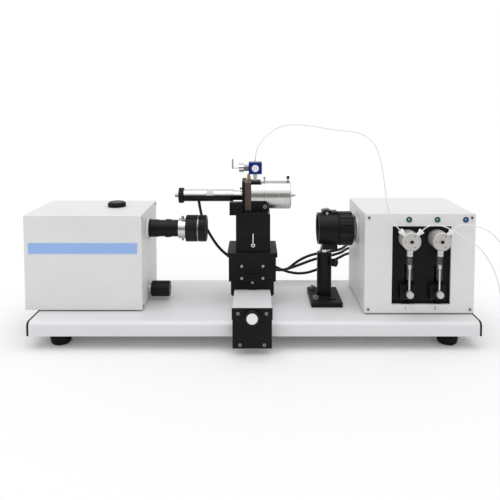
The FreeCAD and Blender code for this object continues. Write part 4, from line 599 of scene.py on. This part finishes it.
plain_dress = [
    ("base_profile", deck_paint, 0.0009), ("base_end_caps", black_plastic, 0.0005),
    ("rubber_feet", foot_rubber, 0.0005), ("optic_lens", lens_coating, 0.0),
    ("floor_plates", black_anodised, 0.0003), ("camera_cover", pale_paint, 0.0004),
    ("camera_side_panel", pale_paint, 0.0003), ("name_strip", strip_blue, 0.0001),
    ("pump_housing", pale_paint, 0.0004), ("pump_front_panel", pale_paint, 0.0004),
    ("drive_panel", black_anodised, 0.0003), ("valve_bodies", satin_aluminium, 0.0003),
    ("valve_fittings", white_plastic, 0.0002), ("syringe_collars", steel_along_z, 0.0003),
    ("syringe_barrels", clear_glass, 0.0), ("light_window", satin_aluminium, 0.0003),
    ("rail_housing", deck_paint, 0.0007), ("rail_front_plate", black_anodised, 0.0003),
    ("post_plate", black_anodised, 0.0004), ("post_holder", black_satin, 0.0003),
    ("top_knob", black_satin, 0.0002), ("lens_focus_ring", black_plastic, 0.0002),
    ("saddle", black_anodised, 0.0004), ("stage_body", black_anodised, 0.0004),
    ("stage_plate", black_anodised, 0.0005), ("tower_base", black_anodised, 0.0012),
    ("tower_head", black_satin, 0.0012), ("stage_screws", satin_aluminium, 0.0002),
    ("clamp_plate", black_anodised, 0.0003),
    ("cell_plate", bronze, 0.0003), ("cell_cylinder", steel_along_x, 0.0003),
    ("valve_lever", steel_along_z, 0.0002), ("optic_post", steel_along_z, 0.0003),
    ("post_screw", black_plastic, 0.0002), ("ribbed_ring", black_satin, 0.0003),
    ("valve_rotor_1", satin_aluminium, 0.0002), ("valve_rotor_2", satin_aluminium, 0.0002)]
for node, finish, rounding in plain_dress:
    dress(node, finish, rounding)
print("plain pieces", len(plain_dress))

# %% [markdown]
# The other nodes hold solids of several materials, such as a black grip on a steel spindle. A solid's own
# size and place tell which it is: a long thin one is a spindle, a flat one a collar. The rule reads the
# solid's box.
# %% Dress the pieces of several materials
X, Y, Z = range(3)


def length_of(low, high, side):
    return high[side] - low[side]


lens_end = span("lens_barrel")[1].x
front_low, front_high = span("lens_front_ring")
band_width = 0.0023
band_end = front_low.x + band_width
lamps_low, lamps_high = span("indicator_lamps")
cube_low = span("valve_cube")[0]
fittings_top = span("cube_fittings")[1].z
cylinder_low, cylinder_high = span("cell_cylinder")
black_half_tilt = 0.1
piston_height = 0.0013
ring_reach = 0.02
rim_depth = 0.0002
small_key, large_key, mount_key = 0.0018, 0.0027, 0.0017
lens_tube_length = 0.08
long_bar = 0.05
plunger_height = 0.03
block_width = 0.02
cap_screw_height = 0.01
small_screw_height = 0.008
head_screw_depth = 0.005
halo_thickness = 0.002
disc_thickness = 0.003
cube_disc_depth = 0.005
socket_nut_depth = 0.006
sled_height = 0.1
millimetre = 0.001


def by_length(side, limit, longer, shorter):
    """A rule that picks a finish by how long a solid is along one side."""
    return lambda low, high, face: longer if length_of(low, high, side) > limit else shorter


def lens_rule(low, high, face):
    if length_of(low, high, X) > lens_tube_length:
        return black_satin
    if length_of(low, high, Z) < small_screw_height:
        return dark_steel
    return steel_along_x if low.x < lens_end - ring_reach else lens_coating


def front_ring_rule(low, high, face):
    return dark_steel if face.center.x < band_end else black_plastic


def lamp_rule(low, high, face):
    if length_of(low, high, Y) < halo_thickness:
        return pale_paint
    return lamp_blue if high.x > lamps_high.x - 2 * millimetre else lamp_green


def barrel_rule(low, high, face):
    """Faces of the barrel that look down are black satin, so only its upper half is bright."""
    if length_of(low, high, Z) < cap_screw_height:
        return black_plastic
    if face.normal.z < black_half_tilt:
        return black_satin
    return steel_along_x if length_of(low, high, X) > long_bar else clear_ring


def fitting_rule(low, high, face):
    if high.z > fittings_top - millimetre:
        return white_plastic
    if low.z > cube_low.z:
        return dark_steel
    return gold_cone if low.x < cube_low.x else white_plastic


def slide_rule(low, high, face):
    if length_of(low, high, Z) > plunger_height:
        return white_plastic if face.center.z > high.z - piston_height else steel_along_z
    return black_anodised if length_of(low, high, X) > block_width else satin_aluminium


# Faces deep in a screw socket get painted shade, since little light reaches them there.
def in_socket(low, high, face, side, outward, radius):
    """Whether a face lies in the socket of a cap screw: near its axis and behind the end of its head."""
    end = high[side] if outward > 0 else low[side]
    others = [other for other in range(3) if other != side]
    away = math.hypot(*(face.center[other] - (low[other] + high[other]) / 2 for other in others))
    return away < radius and abs(face.center[side] - end) > rim_depth


def lever_rule(low, high, face):
    hub_high = high.copy()
    hub_high.z = low.z + length_of(low, high, X)
    return painted_shade_and_dark if in_socket(low, hub_high, face, Y, -1, small_key) else steel_along_z


def frame_screw_rule(low, high, face):
    if length_of(low, high, Z) > cap_screw_height:
        return painted_shade_and_dark if in_socket(low, high, face, Z, 1, large_key) else screw_zinc
    return screw_zinc if low.y < base_low.y else dark_steel


def head_screw_rule(low, high, face):
    if low.x > cylinder_high.x - 20 * millimetre or high.x < cylinder_low.x - 10 * millimetre:
        return black_plastic
    if length_of(low, high, Y) > head_screw_depth:
        return painted_shade_and_dark if in_socket(low, high, face, Y, -1, small_key) else screw_zinc
    return steel_along_z


def optic_rule(low, high, face):
    if length_of(low, high, X) > block_width:
        return black_satin
    return painted_shade_and_dark if in_socket(low, high, face, Z, 1, mount_key) else steel_along_z


def sled_rule(low, high, face):
    return black_anodised if low.z > sled_height else deck_paint


def stage_knob_rule(low, high, face):
    if length_of(low, high, Y) > long_bar:
        return steel_along_y
    return white_plastic if length_of(low, high, Y) < disc_thickness else black_plastic


mixed_dress = [
    ("lens_barrel", lens_rule), ("indicator_lamps", lamp_rule), ("dosing_barrel", barrel_rule),
    ("cube_fittings", fitting_rule), ("pump_slide_1", slide_rule), ("pump_slide_2", slide_rule),
    ("lens_front_ring", front_ring_rule), ("camera_sled", sled_rule),
    ("focus_knob", by_length(X, long_bar, steel_along_x, black_plastic)),
    ("stage_knob", stage_knob_rule),
    ("barrel_knob", by_length(Z, cap_screw_height, black_plastic, dark_steel)),
    ("valve_cube", by_length(Y, cube_disc_depth, cube_blue, white_plastic)), ("optic_mount", optic_rule),
    ("rear_sockets", by_length(Y, socket_nut_depth, black_plastic, satin_aluminium)),
    ("head_screws", head_screw_rule), ("frame_screws", frame_screw_rule), ("clamp_lever", lever_rule)]
for node, rule in mixed_dress:
    dress(node, rule, 0.0002)
for kind, finish in (("line", clear_line), ("cable", cable_jacket)):
    for piece in cords[kind]:
        piece.data.materials.append(finish)
print("pieces of several materials", len(mixed_dress))

# %% [markdown]
# Small things are too fine for the imported solids: dark hexagons of painted shade in the screw sockets, rims
# round the lamps and the pump window, scales on the glass and the barrel, and two plain numerals. Each is a
# closed mesh. Turned ones are a profile spun round an axis, and marks are thin arcs that hug a round surface.
# %% Turned pieces and arc marks
axis_ways = [(Vector((1, 0, 0)), Vector((0, 1, 0)), Vector((0, 0, 1))),
             (Vector((0, 1, 0)), Vector((1, 0, 0)), Vector((0, 0, 1))),
             (Vector((0, 0, 1)), Vector((1, 0, 0)), Vector((0, 1, 0)))]


def rim_point(axis, centre, along, radius, turn):
    """A point at a radius and a turn round an axis."""
    way, side_way, other_way = axis_ways[axis]
    return centre + way * along + radius * (side_way * math.cos(turn) + other_way * math.sin(turn))


def finished(name, flesh, finish, body="root"):
    """The mesh as a piece with its finish, riding on a body."""
    bmesh.ops.recalc_face_normals(flesh, faces=flesh.faces)
    mesh = bpy.data.meshes.new(name)
    flesh.to_mesh(mesh)
    flesh.free()
    mesh.materials.append(finish)
    piece = show(name, mesh)
    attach(piece, body)
    return piece


def spin(flesh, axis, centre, profile, sides=40, capped=False):
    """Add a turned form. A profile is a list of (place along the axis, radius)."""
    rings = []
    for along, radius in profile:
        rings.append([flesh.verts.new(rim_point(axis, centre, along, radius, math.tau * side / sides))
                      for side in range(sides)])
    loft(flesh, rings, smooth=sides > 6, closed=not capped)
    if capped:
        flesh.faces.new(rings[0])
        flesh.faces.new(rings[-1])


def arc_mark(flesh, axis, centre, radius, along, start, end, width, proud=0.00004, steps=6):
    """Add a thin mark that hugs a round surface from one turn in degrees to another."""
    half = width / 2
    corners = [(-half, -proud), (half, -proud), (half, proud), (-half, proud)]
    loops = []
    for step in range(steps + 1):
        turn = math.radians(start + (end - start) * step / steps)
        loops.append([flesh.verts.new(rim_point(axis, centre, along + shift, radius + lift, turn))
                      for shift, lift in corners])
    loft(flesh, loops)
    flesh.faces.new(loops[0])
    flesh.faces.new(loops[-1])


def middle_of(low, high):
    return (low + high) / 2


print("detail helpers ready")

# %% [markdown]
# The socket where a cap screw's key goes lies in shade, so a dark hexagon of painted shade stands for it. The
# panel, rail and stage screws all get one, set a hair proud of the head, and the solids of the screw nodes
# tell where the heads are.
# %% Painted shade in screw sockets
def solid_boxes(node):
    """The boxes of a node's solids, from left to right."""
    boxes = solids_of(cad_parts[node].data)[1].values()
    return sorted(boxes, key=lambda box: (round(box[0].x, 4), round(box[0].z, 4), round(box[0].y, 4)))


def painted_socket_shades(name, node, side, outward, body, chosen):
    """Dark hexagons of painted shade on the heads of the screws that a test chooses."""
    flesh = bmesh.new()
    heads = [box for box in solid_boxes(node) if chosen(*box)]
    for low, high in heads:
        centre = middle_of(low, high)
        centre[side] = 0.0
        end = high[side] if outward > 0 else low[side]
        head_radius = min(length_of(low, high, other) for other in range(3) if other != side) / 2
        key_radius = head_radius / 2
        profile = [(end - outward * 0.0001, key_radius), (end + outward * 0.00006, key_radius)]
        spin(flesh, side, centre, profile, 6, capped=True)
    finished(name, flesh, painted_shade_and_dark, body)
    return len(heads)


panel_x = base_middle.x - 0.175
flat_head = 0.005
socket_shades_made = [
    painted_socket_shades("pump_panel_socket_shades", "frame_screws", Y, -1, "root",
                lambda low, high: low.x > panel_x and length_of(low, high, Z) < flat_head),
    painted_socket_shades("camera_panel_socket_shades", "frame_screws", X, 1, "root",
                lambda low, high: high.x < panel_x and length_of(low, high, Z) < flat_head),
    painted_socket_shades("stage_socket_shades", "stage_screws", Y, -1, "carriage", lambda low, high: True)]
print("key sockets", socket_shades_made)

# %% [markdown]
# Each lamp sits in a dark rim, and a small glowing bead set up and to the left in its lens is a painted
# highlight. The pump window has a bright cut edge, and the blue strip a pale border: both are thin frames,
# mitred at the corners as a cut sheet would be.
# %% Lamp rims and painted highlights, window edge and strip border
lamp_rims = bmesh.new()
lamp_painted_highlights = bmesh.new()
lamp_front = lamps_low.y
rim_profile = [(-0.0004, 0.0034), (-0.0006, 0.0038), (-0.0004, 0.0044), (0.0006, 0.0045), (0.0006, 0.0034)]
highlight_profile = [(-0.00025, 0.0004), (-0.0001, 0.0009), (0.0002, 0.0009)]
highlight_shift = Vector((-0.0008, 0.0, 0.0008))
for low, high in solid_boxes("indicator_lamps"):
    if length_of(low, high, Y) > halo_thickness:
        centre = middle_of(low, high)
        centre.y = lamp_front
        spin(lamp_rims, Y, centre, rim_profile)
        spin(lamp_painted_highlights, Y, centre + highlight_shift, highlight_profile, 20, capped=True)
finished("lamp_rims", lamp_rims, painted_shade_and_dark)
# The bead is a painted highlight on the lamp lens, with a faint glow.
painted_lamp_highlight, _, highlight_shader = bare_material("painted_lamp_glint", (0.5, 0.7, 0.6), 0.3, Emission_Strength=0.15)
highlight_shader.inputs["Emission Color"].default_value = (0.6, 0.9, 0.8, 1.0)
finished("lamp_painted_highlights", lamp_painted_highlights, painted_lamp_highlight, "root")


def thin_frame(name, low, high, width, front, thickness, finish):
    """A flat frame of four mitred bars in a plane that faces the front."""
    flesh = bmesh.new()
    corner_sets = []
    for grow in (0.0, width):
        left, right, bottom, top = low.x - grow, high.x + grow, low.z - grow, high.z + grow
        for depth in (front, front + thickness):
            corner_sets.append([flesh.verts.new((x, depth, z)) for x, z in (
                (left, bottom), (right, bottom), (right, top), (left, top))])
    inner_front, inner_back, outer_front, outer_back = corner_sets
    loft(flesh, [inner_front, outer_front, outer_back, inner_back], closed=True)
    return finished(name, flesh, finish, "root")


panel_front = span("pump_front_panel")[0].y
window_low = at(0.22, 0.0, 0.0609)
window_high = at(0.314, 0.0, 0.1878)
thin_frame("window_edge", window_low, window_high, 0.0007, panel_front - 0.00015, 0.0003,
           white_plastic)
strip_low, strip_high = span("name_strip")
border = 0.0006
inset = Vector((border, 0.0, border))
thin_frame("strip_border", strip_low + inset, strip_high - inset, border, strip_low.y - 0.00008, 0.0002,
           strip_edge)
print("lamps, window edge and strip border")

# %% [markdown]
# The pumps are told apart by a plain numeral under each syringe. A text curve of the built-in face is
# turned into a mesh and stood up against the panel.
# %% Numerals
numeral_height = 0.0074


def numeral(word, middle):
    """A plain printed numeral on a face that looks to the front."""
    letters = bpy.data.curves.new("numeral_" + word, "FONT")
    letters.body = word
    letters.size = numeral_height
    letters.extrude = 0.00004
    letters.align_x = "CENTER"
    letters.align_y = "CENTER"
    holder = bpy.data.objects.new("numeral_" + word, letters)
    mesh = bpy.data.meshes.new_from_object(holder)
    mesh.transform(Matrix.Translation(middle) @ Matrix.Rotation(math.radians(90), 4, "X"))
    bpy.data.curves.remove(letters)
    mesh.materials.clear()
    mesh.materials.append(printed_grey)
    piece = show("numeral_" + word, mesh)
    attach(piece, "root")


syringe_boxes = solid_boxes("syringe_barrels")
numeral_z = 0.0545
numeral_shift = -0.003
for index, (low, high) in enumerate(syringe_boxes):
    numeral_x = middle_of(low, high).x + numeral_shift
    numeral(str(index + 1), Vector((numeral_x, panel_front - 0.00004, numeral_z)))
print("numerals", len(syringe_boxes))

# %% [markdown]
# A glass syringe carries a printed scale, the barrel an engraved one, and the lens ring a row of short
# marks. One loop draws each scale, with a longer mark at every fifth place, and another draws the marks
# round the ring.
# %% Scales on glass, barrel and lens ring
def scale_of(name, axis, centre, radius, places, turns, body, width=0.00022):
    """A row of arc marks. Turns are where each mark starts and where short and long ones end, in degrees."""
    flesh = bmesh.new()
    start, short_end, long_end = turns
    for index, place in enumerate(places):
        arc_mark(flesh, axis, centre, radius, place, start, short_end if index % 5 else long_end, width)
    return finished(name, flesh, printed_grey, body)


glass_step = 0.0033
barrel_step = 0.0015
for index, (low, high) in enumerate(syringe_boxes):
    centre = middle_of(low, high)
    centre.z = 0.0
    marks = [low.z + 0.003 + glass_step * number for number in range(11)]
    scale_of(f"syringe_scale_{index + 1}", Z, centre, length_of(low, high, X) / 2, marks, (285, 294, 303),
             "root", 0.00018)
barrel_low, barrel_high = solid_boxes("dosing_barrel")[0]
barrel_middle = middle_of(barrel_low, barrel_high)
barrel_middle.x = 0.0
barrel_marks = [base_middle.x - 0.064 + barrel_step * number for number in range(21)]
barrel_radius = length_of(barrel_low, barrel_high, Y) / 2
scale_of("barrel_scale", X, barrel_middle, barrel_radius, barrel_marks, (118, 128, 136), "head")
ring_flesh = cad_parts["lens_front_ring"].data
ring_middle = middle_of(front_low, front_high)
band_radius = max(math.hypot(vertex.co.y - ring_middle.y, vertex.co.z - ring_middle.z)
                  for vertex in ring_flesh.vertices if vertex.co.x < band_end)
ring_marks = bmesh.new()
ring_middle.x = (front_low.x + band_end) / 2
ring_mark_count = 36
for index in range(ring_mark_count):
    turn = 360 * index / ring_mark_count
    arc_mark(ring_marks, X, ring_middle, band_radius, 0.0, turn, turn + 1.2, 0.0013, steps=1)
finished("lens_ring_marks", ring_marks, painted_shade_and_dark, "lens_front")
print("scales", len(marks), len(barrel_marks), ring_mark_count, "band radius", round(band_radius, 4))

# %% [markdown]
# Last come the painted shade in the bores of the valves and their dark face screws, the diffuser in the light
# window, the screw on the front of the lens clamp and the thin stop pin beside the post.
# %% Valve faces, diffuser, clamp screw and stop pin
valve_boxes = solid_boxes("valve_bodies")
face_screw_ring = 0.0098
bore_radius = 0.0029
face_screws = bmesh.new()
for index, (low, high) in enumerate(valve_boxes):
    centre = middle_of(low, high)
    centre.y = 0.0
    rotor_front = span(f"valve_rotor_{index + 1}")[0].y
    # A dark disc on the rotor's face is painted shade for its bore.
    bore_shade = bmesh.new()
    bore_shade_profile = [(rotor_front - 0.00008, bore_radius), (rotor_front + 0.0002, bore_radius)]
    spin(bore_shade, Y, centre, bore_shade_profile, capped=True)
    finished(f"rotor_bore_shade_{index + 1}", bore_shade, painted_shade_and_dark, f"rotor_{index + 1}")
    for number in range(3):
        turn = math.radians(60 + 120 * number)
        place = centre + face_screw_ring * Vector((math.cos(turn), 0.0, math.sin(turn)))
        spin(face_screws, Y, place, [(low.y + 0.0006, 0.0009), (low.y + 0.0011, 0.0009)], 6, capped=True)
finished("valve_face_screws", face_screws, painted_shade_and_dark)

light_low, light_high = span("light_window")
light_middle = middle_of(light_low, light_high)
light_middle.x = light_low.x
diffuser = bmesh.new()
diffuser_profile = [(0.0012, 0.0004), (0.0013, 0.012), (0.0019, 0.0168), (0.0021, 0.0168)]
spin(diffuser, X, light_middle, diffuser_profile, capped=True)
finished("light_diffuser", diffuser, white_plastic, "root")

clamp_low, clamp_high = span("optic_mount")
clamp_x = middle_of(*solid_boxes("optic_mount")[-1]).x
clamp_half_width = 0.009
clamp_height = 0.008
screw_drop = 0.0075
clamp_points = [vertex.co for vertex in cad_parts["optic_mount"].data.vertices
                if abs(vertex.co.x - clamp_x) < clamp_half_width
                and vertex.co.z > clamp_high.z - clamp_height]
clamp_front = min(point.y for point in clamp_points)
front_screw = bmesh.new()
screw_profile = [(-0.0018, 0.0008), (-0.0011, 0.0009), (-0.0018, 0.0011), (-0.002, 0.002),
                 (-0.0016, 0.0023), (0.0003, 0.0023)]
screw_place = Vector((clamp_x, clamp_front, clamp_high.z - screw_drop))
spin(front_screw, Y, screw_place, screw_profile, 24, capped=True)
finished("optic_front_screw", front_screw, steel_along_y, "post")
holder_top = span("post_holder")[1].z
pin = bmesh.new()
pin_profile = [(holder_top + 0.0003, 0.0006), (holder_top + 0.0006, 0.0009), (clamp_low.z + 0.0002, 0.0009)]
spin(pin, Z, at(0.1312, -0.004, 0.0), pin_profile, 16, capped=True)
finished("stop_pin", pin, black_plastic, "post")
print("small pieces done")

# %% [markdown]
# The instrument stands on a plain white table in a bright studio. The world lights it evenly, and a wide
# sun from above and in front gives the tops their lighter tone. Rays that the camera sees, straight or
# through glass, meet a white background. Metal mirrors a darker room with bright panels above, behind and
# at the sides, which gives the round bars their light and dark bands. The floor takes the soft shadow and
# turns white farther away.
# %% Studio
scene = bpy.context.scene
scene.view_settings.view_transform = "Standard"
world = bpy.data.worlds.new("studio")
scene.world = world
world.use_nodes = True
sky = world.node_tree
sky.nodes.clear()
seen = add(sky, "LightPath")
direct = math_node(sky, "MAXIMUM", seen.outputs["Is Camera Ray"], seen.outputs["Is Transmission Ray"])
way = add(sky, "SeparateXYZ")
sky.links.new(add(sky, "TexCoord").outputs["Generated"], way.inputs[0])
sideways = math_node(sky, "ABSOLUTE", way.outputs["X"])
front_light, side_light = 0.7, 1.0
room_ahead = 0.25
panel_above, panel_above_behind = 1.2, 0.75
panel_behind, panel_beside = 0.9, 0.8
even_light = spread(sky, math_node(sky, "MULTIPLY", sideways, sideways), 0.0, 1.0, front_light, side_light)
ceiling = spread(sky, way.outputs["Y"], -0.1, 0.3, panel_above, panel_above_behind)
overhead = spread(sky, way.outputs["Z"], 0.3, 0.5, room_ahead, ceiling)
backdrop_glow = spread(sky, way.outputs["Z"], 0.2, 0.5, panel_behind, room_ahead)
behind = spread(sky, way.outputs["Y"], -0.1, 0.3, room_ahead, backdrop_glow)
beside = spread(sky, sideways, 0.55, 0.85, room_ahead, panel_beside)
mirrored = math_node(sky, "MAXIMUM", overhead, math_node(sky, "MAXIMUM", behind, beside))
lit = spread(sky, seen.outputs["Is Glossy Ray"], 0.0, 1.0, even_light, mirrored)
strength = spread(sky, direct, 0.0, 1.0, lit, 1.0)
backdrop = add(sky, "Background", Color=(1.0, 1.0, 1.0, 1.0))
sky.links.new(strength, backdrop.inputs["Strength"])
sky.links.new(backdrop.outputs[0], add(sky, "OutputWorld").inputs["Surface"])

sun_data = bpy.data.lights.new("soft_sun", "SUN")
sun_data.energy = 1.2
sun_data.angle = math.radians(60)
sun = show("soft_sun", sun_data)
sun.rotation_euler = (math.radians(8), math.radians(-4), 0.0)

floor_size = 6.0
table_front = -0.95
floor_glow = 0.04
floor_mesh = bpy.data.meshes.new("floor")
corners = [(-floor_size, table_front, 0.0), (floor_size, table_front, 0.0), (floor_size, floor_size, 0.0),
           (-floor_size, floor_size, 0.0)]
floor_mesh.from_pydata(corners, [], [(0, 1, 2, 3)])
floor = show("floor", floor_mesh)
floor_paper, floor_tree, floor_shader = bare_material("floor_paper", (0.84, 0.84, 0.84), 0.9)
floor_path = add(floor_tree, "LightPath")
floor_tree.links.new(math_node(floor_tree, "MULTIPLY", floor_path.outputs["Is Camera Ray"], floor_glow),
                     floor_shader.inputs["Emission Strength"])
floor_shader.inputs["Emission Color"].default_value = (1.0, 1.0, 1.0, 1.0)
floor_shader.inputs["Specular IOR Level"].default_value = 0.0
floor_mesh.materials.append(floor_paper)
print("studio ready")
